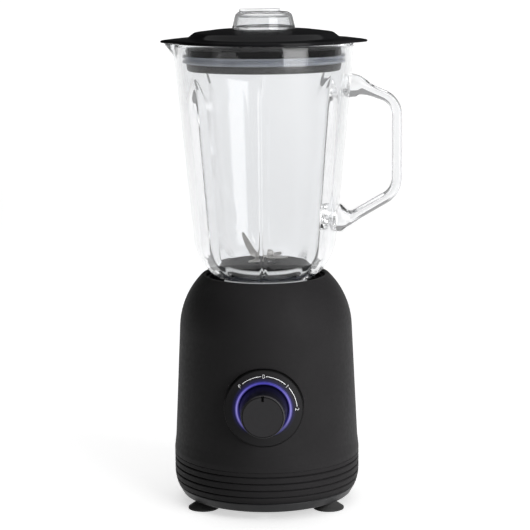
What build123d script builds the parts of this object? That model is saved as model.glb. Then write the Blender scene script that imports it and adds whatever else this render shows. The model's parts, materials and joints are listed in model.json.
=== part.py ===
from build123d import *
import math
import os

# Countertop blender with a glass jug. Sizes are millimetres. The origin lies on the
# floor under the drive axis; the front is -Y, the handle is at +X and up is +Z.

# Feet
FOOT_X = 50.0
FOOT_Y = 33.0
FOOT_HEIGHT = 6.5
FOOT_LIP_RADIUS = 12.2
FOOT_LIP_LAND = 2.2
FOOT_LIP_THICKNESS = 1.1
FOOT_NECK_RADIUS = 6.0
FOOT_CUP_DEPTH = 2.4
FOOT_PLUG_RADIUS = 3.6
FOOT_HEAD_RADIUS = 4.8
FOOT_HEAD_HEIGHT = 2.0

# Bottom cover and ribbed base ring
COVER_EDGE_RADIUS = 68.0
COVER_HEIGHT = 8.0
COVER_FLOOR = 2.6
COVER_WALL = 2.2
BAND_RADIUS = 74.6
BAND_DRAW_HEIGHT = 19.5
RIB_COUNT = 4
RIB_PITCH = 5.4
TOP_BAND = 3.9
GROOVE_DEPTH = 1.3
GROOVE_HALF_WIDTH = 0.7
RIB_ROUNDING = 0.9
RING_WALL = 3.0
RING_FLANGE = 3.0
RING_FLANGE_WIDTH = 18.0
VENT_COUNT = 12
VENT_INNER_RADIUS = 17.0
VENT_LENGTH = 18.0
VENT_WIDTH = 3.2
POST_CIRCLE_RADIUS = 58.0
POST_RADIUS = 4.2

# Housing
HOUSING_WALL = 3.0
HOUSING_FOOT_BAND = 4.0
HOUSING_FLARE_HEIGHT = 9.0
HOUSING_FLARE_RADIUS = 73.5
SHOULDER_RADIUS = 69.1
SHOULDER_RISE = 104.0
RIM_RISE = 145.0
RIM_RADIUS = 50.6
RIM_LIP = 3.1
RIM_LIP_DEPTH = 9.0
BOSS_RADIUS = 5.0
BOSS_LENGTH = 12.0
BOSS_WALL_BITE = 0.8

# Screws
SCREW_RADIUS = 1.6
SCREW_HEAD_RADIUS = 3.3
SCREW_HEAD_HEIGHT = 2.0
SCREW_LENGTH = 12.0
SCREW_CLEARANCE = 0.1

# Power cord inlet at the rear
GLAND_RISE = 22.0
GLAND_RADIUS = 5.4
GLAND_BORE_RADIUS = 3.6
GLAND_FLANGE_RADIUS = 8.0
GLAND_FLANGE = 1.8
GLAND_CLEARANCE = 0.1

# Seat that the jug stands in
SEAT_DEPTH = 26.7
SEAT_FLOOR = 3.0
SEAT_WALL = 2.3
SEAT_CLEARANCE = 0.4
SEAT_TOP_DROP = 3.0
SEAT_FLANGE_DROP = 13.0
SEAT_FLANGE = 3.0
SEAT_FLANGE_WIDTH = 8.0
SEAT_POST_RADIUS = 3.4
SEAT_HOLE_RADIUS = 19.5
SEAT_DRAIN_WALL = 2.2
SEAT_DRAIN_HEIGHT = 2.4
LUG_COUNT = 4
LUG_REACH = 3.4
LUG_WIDTH = 6.0
LUG_HEIGHT = 10.0
LUG_CLEARANCE = 0.6

# Control panel
CONTROL_RISE = 51.6
BEZEL_RADIUS = 30.8
BEZEL_PROUD = 1.7
BEZEL_DEPTH = 13.0
BEZEL_DOME = 3.2
BEZEL_WALL = 2.6
BEZEL_FACE = 2.8
BEZEL_CLEARANCE = 0.2
POCKET_WALL = 2.2
POCKET_FLOOR = 3.0
LIGHT_OUTER_RADIUS = 22.3
LIGHT_WIDTH = 2.7
LIGHT_PROUD = 0.3
LIGHT_FLANGE_REACH = 3.4
LIGHT_FLANGE = 1.5
LIGHT_CLEARANCE = 0.1
BOARD_THICKNESS = 1.6
BOARD_HOLE_RADIUS = 12.0
BOARD_CLEARANCE = 0.3
KNOB_PROUD = 27.5
KNOB_FACE_RADIUS = 16.6
KNOB_GAP = 0.5
KNOB_SINK = 3.0
KNOB_WALL = 2.4
KNOB_EDGE_ROUNDING = 1.4
KNOB_HUB_RADIUS = 7.0
KNOB_NOTCH_LENGTH = 4.6
KNOB_NOTCH_WIDTH = 2.0
KNOB_NOTCH_DEPTH = 0.9
SPINDLE_RADIUS = 3.0
SPINDLE_GRIP = 16.0
SPINDLE_TAIL = 9.0
SWITCH_SIZE = 26.0
SWITCH_DEPTH = 16.0
SWITCH_BUSH_RADIUS = 5.4
SWITCH_BUSH_LENGTH = 7.0
SWITCH_NUT_RADIUS = 8.2
SWITCH_NUT_HEIGHT = 2.8

# Motor
MOTOR_MOUNT_RADIUS = 32.0
MOTOR_BOSS_RADIUS = 5.0
MOTOR_BOSS_LENGTH = 10.0
GROMMET_RADIUS = 6.4
GROMMET_HEIGHT = 3.0
BRACKET_RADIUS = 39.0
BRACKET_THICKNESS = 4.0
BRACKET_HUB_WALL = 4.0
BEARING_RADIUS = 9.0
BEARING_HEIGHT = 8.0
BEARING_LIP = 1.6
SHAFT_RADIUS = 4.0
RUNNING_CLEARANCE = 0.05
PRESS_CLEARANCE = 0.02
STATOR_RADIUS = 37.6
STATOR_YOKE = 6.6
STATOR_HEIGHT = 34.0
STATOR_TOP_SPACE = 13.0
STATOR_LOW_SPACE = 29.0
POLE_HALF_ANGLE = 52.0
ROTOR_RADIUS = 21.8
AIR_GAP = 0.6
COIL_OVERHANG = 6.0
COIL_GAP = 0.5
WINDING_RADIUS = 19.5
WINDING_HEIGHT = 5.6
COMMUTATOR_RADIUS = 11.0
COMMUTATOR_HEIGHT = 15.0
COMMUTATOR_DROP = 8.0
BRUSH_LENGTH = 18.0
BRUSH_WIDTH = 6.0
BRUSH_HEIGHT = 8.0
BRUSH_GAP = 0.15
HOLDER_INSET = 3.5
HOLDER_WALL = 2.0
HOLDER_CLEARANCE = 0.1
BOLT_RADIUS = 1.8
BOLT_CIRCLE_RADIUS = 34.3
BOLT_POST_RADIUS = 3.2
BOLT_HEAD_RADIUS = 3.1
BOLT_HEAD_HEIGHT = 2.4
FAN_RADIUS = 32.0
FAN_HEIGHT = 11.0
FAN_PLATE = 1.8
FAN_HUB_RADIUS = 8.0
FAN_BLADE_COUNT = 9
FAN_BLADE_THICKNESS = 1.8
FAN_GAP = 2.0
SHAFT_TAIL = 2.0

# Couplings between motor and blades
COUPLER_TOOTH_COUNT = 6
COUPLER_CORE_RADIUS = 9.0
COUPLER_TOOTH_RADIUS = 13.2
COUPLER_TOOTH_WIDTH = 5.2
COUPLER_HEIGHT = 12.0
COUPLER_SKIRT_RADIUS = 15.5
COUPLER_SKIRT = 3.0
COUPLER_SINK = 1.0
COUPLER_CLEARANCE = 0.5
COUPLER_END_GAP = 1.0
CUP_WALL = 3.6
CUP_TOP = 4.0

# Collar, gasket and blade carrier under the jug
COLLAR_GAP = 1.2
COLLAR_WALL = 3.6
COLLAR_HEIGHT = 22.0
COLLAR_FLOOR = 4.0
COLLAR_HOLE_RADIUS = 25.0
NECK_GAP = 0.4
NECK_WALL = 6.0
CARRIER_FLANGE = 3.0
CARRIER_HEIGHT = 30.7
CARRIER_WALL = 3.0
CARRIER_TOP = 3.0
CARRIER_GAP = 0.5
CARRIER_HUB_RADIUS = 10.0
CARRIER_HUB_RISE = 1.0
CARRIER_HUB_DROP = 6.0
GASKET_THICKNESS = 2.0
BUSH_RADIUS = 6.5
SHAFT_SEAL_HEIGHT = 3.0
CLIP_RADIUS = 6.6
CLIP_HEIGHT = 1.2
CLIP_GAP = 0.5

# Blades
BLADE_GAP = 0.5
WASHER_RADIUS = 7.6
WASHER_HEIGHT = 1.2
BLADE_THICKNESS = 1.6
BLADE_HUB_RADIUS = 8.6
BLADE_ROOT_WIDTH = 12.0
BLADE_TIP_WIDTH = 5.0
STEEP_WING_LENGTH = 23.0
STEEP_WING_ANGLE = 58.0
MILD_WING_LENGTH = 12.0
MILD_WING_ANGLE = 5.0
LOW_WING_LENGTH = 15.0
LOW_WING_ANGLE = 4.0
UPPER_BLADE_TURN = 154.0
LOWER_BLADE_TURN = 64.0
NUT_RADIUS = 6.6
NUT_HEIGHT = 5.0
NUT_CAP = 0.8

# Glass jug
JUG_HEIGHT = 201.7
JUG_MOUTH_RADIUS = 70.6
JUG_MOUTH_BAND = 15.0
JUG_FOOT_RADIUS = 57.0
JUG_FOOT_RISE = 45.7
JUG_CORNER_RADIUS = 40.0
JUG_MOUTH_ROUNDING = 30.0
GLASS_WALL = 6.0
GLASS_FLOOR_RISE = 24.0
GLASS_INSIDE_ROUNDING = 16.0
GLASS_RIM_ROUNDING = 2.0
FLUTE_ANGLE = 49.0
FLUTE_RADIUS = 10.0
FLUTE_DEPTH = 3.6
FLUTE_TOP_DROP = 47.0
FLUTE_RUN_OUT_RADIUS = 90.0
FLUTE_RUN_OUT_TURN = 26.0
FLUTE_CORNER_TURN = 49.5
FRONT_FLUTE_RADIUS = 5.0
FRONT_FLUTE_DEPTH = 1.6
FRONT_FLUTE_TOP_DROP = 46.5
SPOUT_REACH = 8.6
SPOUT_HEIGHT = 10.0
SPOUT_RADIUS = 12.5
SPOUT_ROOT_RADIUS = 9.0
SPOUT_WALL = 4.6
HANDLE_REACH = 104.6
HANDLE_TOP_DROP = 46.3
HANDLE_TOP_SLOPE = 22.0
HANDLE_GRIP_HEIGHT = 71.8
HANDLE_LOW_SLOPE = 30.0
HANDLE_TOP_BEND = 17.0
HANDLE_LOW_BEND = 20.0
HANDLE_THICKNESS = 8.4
HANDLE_WIDTH = 20.0
HANDLE_ROUNDING = 3.4

# Lid, seal and measuring cap
LID_BRIM_OVERHANG = 1.6
LID_BRIM_THICKNESS = 2.6
LID_BRIM_ROUNDING = 1.0
LID_SHOULDER_RADIUS = 60.0
LID_SHOULDER_RISE = 3.6
LID_DOME_RADIUS = 54.5
LID_DOME_RISE = 7.9
LID_CROWN_RADIUS = 38.0
LID_CROWN_RISE = 9.9
LID_TOP_RISE = 10.4
LID_WALL = 2.6
LID_SKIRT_DEPTH = 21.0
LID_SKIRT_GAP = 3.2
LID_SKIRT_WALL = 2.8
LID_TAB_REACH = 81.4
LID_TAB_WIDTH = 46.0
LID_TAB_TIP_WIDTH = 15.0
LID_TAB_THICKNESS = 2.2
SEAL_DROP = 9.3
SEAL_HEIGHT = 6.2
SEAL_LIP = 2.2
SEAL_GROOVE_DEPTH = 1.6
SEAL_GAP = 0.4
CAP_HOLE_RADIUS = 21.6
CAP_HOLE_WALL = 2.4
CAP_HOLE_DEPTH = 16.0
CAP_CLEARANCE = 0.4
CAP_FLANGE_RADIUS = 25.0
CAP_RISE = 13.4
CAP_TOP_RADIUS = 21.8
CAP_EDGE_ROUNDING = 5.0
CAP_WALL = 2.0
CAP_DEPTH = 20.0
CAP_GRIP_LENGTH = 33.0
CAP_GRIP_WIDTH = 8.0
CAP_GRIP_HEIGHT = 2.2
CAP_GRIP_TURN = 14.0
CAP_GRIP_OFFSET = 3.0


def turned(*corners):
    """Solid turned about Z from (radius, height[, rounding]) corners."""
    points = [(corner[0], corner[1]) for corner in corners]
    rounds = [corner[2] if len(corner) > 2 else 0 for corner in corners]
    outline = FilletPolyline(*points, radius=rounds, close=True)
    return revolve(Plane.XZ * make_face(outline), Axis.Z)


def turned_forward(height, *corners):
    """Solid turned about the front to back line at a height, from (radius, y[, rounding])."""
    points = [(corner[0], corner[1]) for corner in corners]
    rounds = [corner[2] if len(corner) > 2 else 0 for corner in corners]
    outline = FilletPolyline(*points, radius=rounds, close=True)
    face = Plane.XY.offset(height) * make_face(outline)
    return revolve(face, Axis((0, 0, height), (0, 1, 0)))


def pillar(x, y, radius, low, high):
    """Upright cylinder between two heights."""
    shape = Cylinder(radius, high - low, align=(Align.CENTER, Align.CENTER, Align.MIN))
    return Pos(x, y, low) * shape


def ring(outer, inner, low, high):
    """Upright tube between two heights."""
    return pillar(0, 0, outer, low, high) - pillar(0, 0, inner, low, high)


def rod_forward(radius, height, front, back):
    """Cylinder along Y between two y values."""
    shape = Cylinder(radius, back - front, align=(Align.CENTER, Align.CENTER, Align.MIN))
    return Pos(0, front, height) * Rot(-90, 0, 0) * shape


def block(x0, x1, y0, y1, z0, z1):
    """Box between six planes."""
    shape = Box(x1 - x0, y1 - y0, z1 - z0, align=(Align.MIN, Align.MIN, Align.MIN))
    return Pos(x0, y0, z0) * shape


def turns(count, first=0.0):
    """Angles of a number of even turns."""
    return [first + 360.0 * i / count for i in range(count)]


def polar(radius, angle):
    """Point on a circle about the drive axis."""
    return radius * math.cos(math.radians(angle)), radius * math.sin(math.radians(angle))


# Heights that follow from the sizes
cover_low = FOOT_HEIGHT
cover_top = cover_low + COVER_HEIGHT
cover_floor_top = cover_low + COVER_FLOOR
ring_top = cover_top + RIB_COUNT * RIB_PITCH + TOP_BAND
flange_low = ring_top - RING_FLANGE
shoulder_height = ring_top + SHOULDER_RISE
rim_height = ring_top + RIM_RISE
control_height = ring_top + CONTROL_RISE
seat_height = rim_height - SEAT_DEPTH
seat_underside = seat_height - SEAT_FLOOR

# Radii that follow from the seat
opening_radius = RIM_RADIUS - RIM_LIP
seat_outer = opening_radius - SEAT_CLEARANCE
seat_inner = seat_outer - SEAT_WALL
collar_outer = seat_inner - COLLAR_GAP
collar_inner = collar_outer - COLLAR_WALL
neck_outer = collar_inner - NECK_GAP
neck_inner = neck_outer - NECK_WALL

# Heights of the jug
collar_floor_top = seat_height + COLLAR_FLOOR
carrier_flange_top = collar_floor_top + CARRIER_FLANGE
neck_low = carrier_flange_top + GASKET_THICKNESS
jug_rim = neck_low + JUG_HEIGHT
jug_foot = neck_low + JUG_FOOT_RISE
mouth_low = jug_rim - JUG_MOUTH_BAND
glass_floor = neck_low + GLASS_FLOOR_RISE
carrier_top = collar_floor_top + CARRIER_HEIGHT
hub_top = carrier_top + CARRIER_HUB_RISE
hub_low = carrier_top - CARRIER_TOP - CARRIER_HUB_DROP

# Heights of the motor
boss_low = seat_underside - MOTOR_BOSS_LENGTH
bracket_top = boss_low - GROMMET_HEIGHT
bracket_low = bracket_top - BRACKET_THICKNESS
stator_top = bracket_low - STATOR_TOP_SPACE
stator_low = stator_top - STATOR_HEIGHT
low_bracket_top = stator_low - STATOR_LOW_SPACE
low_bracket_low = low_bracket_top - BRACKET_THICKNESS
hub_outer = BEARING_RADIUS + BRACKET_HUB_WALL
bearing_room = BEARING_HEIGHT + BEARING_LIP
fan_top = low_bracket_top - bearing_room - FAN_GAP
fan_low = fan_top - FAN_HEIGHT
commutator_top = stator_low - COMMUTATOR_DROP
commutator_low = commutator_top - COMMUTATOR_HEIGHT


def band_radius(height):
    """Radius of the ribbed band: straight above, drawn in on an arc towards the floor."""
    draw = BAND_RADIUS - COVER_EDGE_RADIUS
    arc = (draw ** 2 + BAND_DRAW_HEIGHT ** 2) / (2 * draw)
    below = max(0.0, cover_low + BAND_DRAW_HEIGHT - height)
    return BAND_RADIUS - arc + math.sqrt(arc ** 2 - below ** 2)


def make_foot(x, y):
    """Suction foot with a plug and head that hold it in the bottom cover."""
    cone_top = FOOT_HEIGHT - FOOT_LIP_THICKNESS
    return Pos(x, y, 0) * turned(
        (FOOT_LIP_RADIUS - FOOT_LIP_LAND, 0),
        (FOOT_LIP_RADIUS, 0),
        (FOOT_LIP_RADIUS, FOOT_LIP_THICKNESS, FOOT_LIP_THICKNESS / 3),
        (FOOT_NECK_RADIUS, cone_top, FOOT_LIP_THICKNESS),
        (FOOT_NECK_RADIUS, cover_low),
        (FOOT_PLUG_RADIUS, cover_low),
        (FOOT_PLUG_RADIUS, cover_floor_top),
        (FOOT_HEAD_RADIUS, cover_floor_top),
        (FOOT_PLUG_RADIUS, cover_floor_top + FOOT_HEAD_HEIGHT),
        (0, cover_floor_top + FOOT_HEAD_HEIGHT),
        (0, FOOT_CUP_DEPTH),
    )


def make_cover():
    """Dished bottom cover with vents, foot holes and screw holes."""
    inner = COVER_EDGE_RADIUS - COVER_WALL
    groove = band_radius(cover_top) - GROOVE_DEPTH
    body = turned(
        (0, cover_low),
        (COVER_EDGE_RADIUS, cover_low, COVER_FLOOR),
        (band_radius(cover_top - GROOVE_HALF_WIDTH), cover_top - GROOVE_HALF_WIDTH, RIB_ROUNDING),
        (groove, cover_top),
        (inner, cover_top),
        (inner, cover_floor_top, RIB_ROUNDING),
        (0, cover_floor_top),
    )
    holes = []
    for sx in (-1, 1):
        for sy in (-1, 1):
            hole_radius = FOOT_PLUG_RADIUS + SCREW_CLEARANCE
            holes.append(pillar(sx * FOOT_X, sy * FOOT_Y, hole_radius, cover_low, cover_floor_top))
    for angle in turns(4):
        x, y = polar(POST_CIRCLE_RADIUS, angle)
        holes.append(pillar(x, y, SCREW_RADIUS + SCREW_CLEARANCE, cover_low, cover_floor_top))
    vent = block(
        VENT_INNER_RADIUS,
        VENT_INNER_RADIUS + VENT_LENGTH,
        -VENT_WIDTH / 2,
        VENT_WIDTH / 2,
        cover_low,
        cover_floor_top,
    )
    for angle in turns(VENT_COUNT, 360.0 / VENT_COUNT / 2):
        holes.append(Rot(0, 0, angle) * vent)
    return body - holes


def make_base_ring():
    """Ribbed ring between the bottom cover and the housing."""
    groove = band_radius(cover_top) - GROOVE_DEPTH
    corners = [(groove, cover_top)]
    for i in range(RIB_COUNT + 1):
        low = cover_top + i * RIB_PITCH + GROOVE_HALF_WIDTH
        corners.append((band_radius(low), low, RIB_ROUNDING))
        if i < RIB_COUNT:
            high = cover_top + (i + 1) * RIB_PITCH
            edge = high - GROOVE_HALF_WIDTH
            corners.append((band_radius(edge), edge, RIB_ROUNDING))
            corners.append((band_radius(high) - GROOVE_DEPTH, high))
    inside = BAND_RADIUS - RING_WALL
    flange_inner = inside - RING_FLANGE_WIDTH
    corners.append((BAND_RADIUS, ring_top, RIB_ROUNDING / 2))
    corners.append((flange_inner, ring_top))
    corners.append((flange_inner, flange_low))
    corners.append((inside, flange_low))
    corners.append((inside, cover_low + BAND_DRAW_HEIGHT))
    corners.append((groove - RING_WALL, cover_top))
    body = turned(*corners)
    posts = []
    holes = []
    for angle in turns(4):
        x, y = polar(POST_CIRCLE_RADIUS, angle)
        posts.append(pillar(x, y, POST_RADIUS, cover_floor_top, ring_top))
        holes.append(pillar(x, y, SCREW_RADIUS + SCREW_CLEARANCE, cover_floor_top, flange_low))
    for angle in turns(4, 45):
        x, y = polar(boss_circle(), angle)
        holes.append(pillar(x, y, SCREW_RADIUS + SCREW_CLEARANCE, flange_low, ring_top))
    return body + posts - holes


def housing_wall_taper():
    """Lean of the housing wall from upright, in radians."""
    run = HOUSING_FLARE_RADIUS - SHOULDER_RADIUS
    return math.atan2(run, SHOULDER_RISE - HOUSING_FOOT_BAND - HOUSING_FLARE_HEIGHT)


def housing_radius(height):
    """Outer radius of the straight part of the housing wall."""
    return SHOULDER_RADIUS + (shoulder_height - height) * math.tan(housing_wall_taper())


def shoulder_arc():
    """Centre radius, centre height and arc radius of the shoulder, tangent to the wall."""
    lean = housing_wall_taper()
    normal = (math.cos(lean), math.sin(lean))
    chord = (SHOULDER_RADIUS - RIM_RADIUS, shoulder_height - rim_height)
    reach = chord[0] * normal[0] + chord[1] * normal[1]
    arc = (chord[0] ** 2 + chord[1] ** 2) / (2 * reach)
    return SHOULDER_RADIUS - arc * normal[0], shoulder_height - arc * normal[1], arc


def boss_circle():
    """Radius of the circle of housing screw bosses."""
    inner = housing_radius(ring_top + BOSS_LENGTH) - HOUSING_WALL
    return inner - BOSS_RADIUS + BOSS_WALL_BITE


def housing_outside():
    """Full solid inside the outer surface of the housing."""
    centre_r, centre_z, arc = shoulder_arc()
    start = math.degrees(housing_wall_taper())
    end = math.degrees(math.atan2(rim_height - centre_z, RIM_RADIUS - centre_r))
    flare_top = ring_top + HOUSING_FOOT_BAND + HOUSING_FLARE_HEIGHT
    wall = FilletPolyline(
        (0, ring_top),
        (BAND_RADIUS, ring_top),
        (BAND_RADIUS, ring_top + HOUSING_FOOT_BAND),
        (housing_radius(flare_top), flare_top),
        (SHOULDER_RADIUS, shoulder_height),
        radius=[0.5, 8, 12],
    )
    shoulder = CenterArc((centre_r, centre_z), arc, start, end - start)
    top = Polyline((RIM_RADIUS, rim_height), (0, rim_height), (0, ring_top))
    return revolve(Plane.XZ * make_face([wall, shoulder, top]), Axis.Z)


def housing_inside():
    """Room inside the housing wall, up to the lip of the rim."""
    centre_r, centre_z, arc = shoulder_arc()
    inner_arc = arc - HOUSING_WALL
    lean = housing_wall_taper()
    start = math.degrees(lean)
    shoulder_point = (centre_r + inner_arc * math.cos(lean), centre_z + inner_arc * math.sin(lean))
    end_r = opening_radius + RIM_LIP
    end_angle = math.acos((end_r - centre_r) / inner_arc)
    end_z = centre_z + inner_arc * math.sin(end_angle)
    low_r = housing_radius(ring_top) - HOUSING_WALL
    wall = Polyline((0, ring_top), (low_r, ring_top), shoulder_point)
    arc_edge = CenterArc((centre_r, centre_z), inner_arc, start, math.degrees(end_angle) - start)
    top = Polyline((end_r, end_z), (0, end_z), (0, ring_top))
    return revolve(Plane.XZ * make_face([wall, arc_edge, top]), Axis.Z)


# Control positions along Y
bezel_edge = -(housing_radius(control_height) + BEZEL_PROUD)
bezel_ring = bezel_edge - BEZEL_DOME
bezel_back = bezel_edge + BEZEL_FACE
pocket_floor = bezel_edge + BEZEL_DEPTH
pocket_back = pocket_floor + POCKET_FLOOR
knob_face = bezel_edge - KNOB_PROUD
knob_base = bezel_ring + KNOB_SINK
light_inner = LIGHT_OUTER_RADIUS - LIGHT_WIDTH
knob_base_radius = light_inner - KNOB_GAP
bush_front = pocket_back - SWITCH_BUSH_LENGTH
spindle_front = knob_face + KNOB_WALL + BLADE_THICKNESS
hub_back = spindle_front + SPINDLE_GRIP


def make_housing():
    """Domed housing with the rim lip, control pocket, bosses and rear cord hole."""
    outside = housing_outside()
    inside = housing_inside()
    shell = outside - inside - pillar(0, 0, opening_radius, seat_underside, rim_height)
    lip_low = rim_height - RIM_LIP_DEPTH
    lip = ring(opening_radius + RIM_LIP, opening_radius, lip_low, rim_height) & outside
    pocket_radius = BEZEL_RADIUS + BEZEL_CLEARANCE
    pocket = rod_forward(pocket_radius + POCKET_WALL, control_height, bezel_edge, pocket_back) & outside
    body = shell + lip + pocket
    body -= rod_forward(pocket_radius, control_height, bezel_ring * 2, pocket_floor)
    body -= rod_forward(SWITCH_BUSH_RADIUS + SCREW_CLEARANCE, control_height, bezel_edge, pocket_back)
    for angle in turns(4, 45):
        x, y = polar(boss_circle(), angle)
        body += pillar(x, y, BOSS_RADIUS, ring_top, ring_top + BOSS_LENGTH) & outside
        body -= pillar(x, y, SCREW_RADIUS + SCREW_CLEARANCE, ring_top, ring_top + SCREW_LENGTH)
    flange_top = rim_height - SEAT_FLANGE_DROP
    for angle in turns(4, 45):
        x, y = polar(seat_post_circle(), angle)
        body += pillar(x, y, SEAT_POST_RADIUS, flange_top, rim_height) & outside
        body -= pillar(x, y, SCREW_RADIUS + SCREW_CLEARANCE, flange_top, flange_top + SCREW_LENGTH / 2)
    gland_height = ring_top + GLAND_RISE
    gland_hole = rod_forward(GLAND_RADIUS + GLAND_CLEARANCE, gland_height, 0, BAND_RADIUS * 2)
    rim_edges = body.edges().filter_by(GeomType.CIRCLE).filter_by_position(
        Axis.Z, rim_height - 0.01, rim_height + 0.01
    )
    body = fillet(rim_edges, RIM_LIP * 0.42)
    return body - gland_hole


def seat_post_circle():
    """Radius of the circle of posts that hold the seat."""
    return opening_radius + RIM_LIP + SEAT_POST_RADIUS * 0.4


def make_seat():
    """Cup the jug stands in, with a screw flange, drain wall, lugs and motor bosses."""
    seat_top = rim_height - SEAT_TOP_DROP
    flange_top = rim_height - SEAT_FLANGE_DROP
    body = turned(
        (SEAT_HOLE_RADIUS, seat_underside),
        (seat_outer, seat_underside, SEAT_FLOOR * 0.6),
        (seat_outer, flange_top - SEAT_FLANGE),
        (seat_outer + SEAT_FLANGE_WIDTH, flange_top - SEAT_FLANGE),
        (seat_outer + SEAT_FLANGE_WIDTH, flange_top),
        (seat_outer, flange_top),
        (seat_outer, seat_top),
        (seat_inner, seat_top),
        (seat_inner, seat_height),
        (SEAT_HOLE_RADIUS + SEAT_DRAIN_WALL, seat_height),
        (SEAT_HOLE_RADIUS + SEAT_DRAIN_WALL, seat_height + SEAT_DRAIN_HEIGHT),
        (SEAT_HOLE_RADIUS, seat_height + SEAT_DRAIN_HEIGHT),
    )
    lug = block(
        seat_inner - LUG_REACH,
        seat_inner + SEAT_WALL / 2,
        -LUG_WIDTH / 2,
        LUG_WIDTH / 2,
        seat_height,
        seat_height + LUG_HEIGHT,
    )
    for angle in turns(LUG_COUNT, 45):
        body += Rot(0, 0, angle) * lug
    for angle in turns(4, 45):
        x, y = polar(MOTOR_MOUNT_RADIUS, angle)
        body += pillar(x, y, MOTOR_BOSS_RADIUS, boss_low, seat_underside)
        body -= pillar(x, y, SCREW_RADIUS + SCREW_CLEARANCE, boss_low, seat_underside)
        x, y = polar(seat_post_circle(), angle)
        body -= pillar(x, y, SCREW_RADIUS + SCREW_CLEARANCE, flange_top - SEAT_FLANGE, flange_top)
    return body


def screws(circle, first, bearing_face, length):
    """Four pan head screws driven upwards against a flat face."""
    group = Part()
    for angle in turns(4, first):
        x, y = polar(circle, angle)
        group += turned_screw(x, y, bearing_face, length)
    return group


def turned_screw(x, y, bearing_face, length):
    """One pan head screw with its head under the given height."""
    return Pos(x, y, bearing_face) * turned(
        (0, -SCREW_HEAD_HEIGHT),
        (SCREW_HEAD_RADIUS, -SCREW_HEAD_HEIGHT, SCREW_HEAD_HEIGHT * 0.6),
        (SCREW_HEAD_RADIUS, 0),
        (SCREW_RADIUS, 0),
        (SCREW_RADIUS, length),
        (0, length),
    )


def make_gland():
    """Flanged bush that lines the cord hole at the rear."""
    height = ring_top + GLAND_RISE
    wall_face = housing_radius(height)
    inner_face = wall_face - HOUSING_WALL
    flange_face = housing_radius(height - GLAND_FLANGE_RADIUS) + GLAND_CLEARANCE
    return turned_forward(
        height,
        (GLAND_BORE_RADIUS, inner_face - GLAND_FLANGE * 2),
        (GLAND_RADIUS, inner_face - GLAND_FLANGE * 2),
        (GLAND_RADIUS, flange_face),
        (GLAND_FLANGE_RADIUS, flange_face),
        (GLAND_FLANGE_RADIUS, flange_face + GLAND_FLANGE, GLAND_FLANGE * 0.5),
        (GLAND_BORE_RADIUS, flange_face + GLAND_FLANGE),
    )


def make_bezel():
    """Domed ring of the control panel."""
    hole = LIGHT_OUTER_RADIUS + LIGHT_CLEARANCE
    inner = BEZEL_RADIUS - BEZEL_WALL
    return turned_forward(
        control_height,
        (hole, bezel_ring),
        (BEZEL_RADIUS, bezel_edge, BEZEL_FACE * 0.4),
        (BEZEL_RADIUS, pocket_floor),
        (inner, pocket_floor),
        (inner, bezel_back),
        (hole, bezel_back),
    )


def make_light_ring():
    """Clear ring that carries the light round the knob."""
    return turned_forward(
        control_height,
        (light_inner, bezel_ring - LIGHT_PROUD, LIGHT_WIDTH * 0.3),
        (LIGHT_OUTER_RADIUS, bezel_ring - LIGHT_PROUD, LIGHT_WIDTH * 0.3),
        (LIGHT_OUTER_RADIUS, bezel_back),
        (LIGHT_OUTER_RADIUS + LIGHT_FLANGE_REACH, bezel_back),
        (LIGHT_OUTER_RADIUS + LIGHT_FLANGE_REACH, bezel_back + LIGHT_FLANGE),
        (light_inner, bezel_back + LIGHT_FLANGE),
    )


def make_led_board():
    """Ring shaped circuit board behind the light ring."""
    front = bezel_back + LIGHT_FLANGE
    outer = BEZEL_RADIUS - BEZEL_WALL - BOARD_CLEARANCE
    return turned_forward(
        control_height,
        (BOARD_HOLE_RADIUS, front),
        (outer, front),
        (outer, front + BOARD_THICKNESS),
        (BOARD_HOLE_RADIUS, front + BOARD_THICKNESS),
    )


def make_switch():
    """Rotary switch with a bush through the pocket floor."""
    half = SWITCH_SIZE / 2
    body = block(
        -half,
        half,
        pocket_back,
        pocket_back + SWITCH_DEPTH,
        control_height - half,
        control_height + half,
    )
    body += rod_forward(SWITCH_BUSH_RADIUS, control_height, bush_front, pocket_back)
    bore_radius = SPINDLE_RADIUS + RUNNING_CLEARANCE
    bore_end = pocket_back + SPINDLE_TAIL + RUNNING_CLEARANCE * 10
    return body - rod_forward(bore_radius, control_height, bush_front, bore_end)


def make_switch_nut():
    """Hexagon nut that clamps the switch to the pocket floor."""
    plane = Plane(origin=(0, pocket_floor, control_height), x_dir=(1, 0, 0), z_dir=(0, -1, 0))
    outline = RegularPolygon(SWITCH_NUT_RADIUS, 6) - Circle(SWITCH_BUSH_RADIUS + PRESS_CLEARANCE)
    return extrude(plane * outline, SWITCH_NUT_HEIGHT)


def make_knob():
    """Tapered knob with a hub and an index notch."""
    side_length = knob_base - knob_face
    slope = (knob_base_radius - KNOB_FACE_RADIUS) / side_length
    inner_face = knob_face + KNOB_WALL
    inner_face_radius = KNOB_FACE_RADIUS + slope * KNOB_WALL - KNOB_WALL
    body = turned_forward(
        control_height,
        (0, knob_face),
        (KNOB_FACE_RADIUS, knob_face, KNOB_EDGE_ROUNDING),
        (knob_base_radius, knob_base),
        (knob_base_radius - KNOB_WALL, knob_base),
        (inner_face_radius, inner_face),
        (KNOB_HUB_RADIUS, inner_face),
        (KNOB_HUB_RADIUS, hub_back),
        (0, hub_back),
    )
    body -= rod_forward(SPINDLE_RADIUS + PRESS_CLEARANCE, control_height, spindle_front, hub_back)
    notch_top = control_height + KNOB_FACE_RADIUS
    return body - block(
        -KNOB_NOTCH_WIDTH / 2,
        KNOB_NOTCH_WIDTH / 2,
        knob_face,
        knob_face + KNOB_NOTCH_DEPTH,
        notch_top - KNOB_NOTCH_LENGTH,
        notch_top,
    )


def make_spindle():
    """Switch spindle from the switch into the knob hub."""
    return rod_forward(SPINDLE_RADIUS, control_height, spindle_front, pocket_back + SPINDLE_TAIL)


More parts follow.
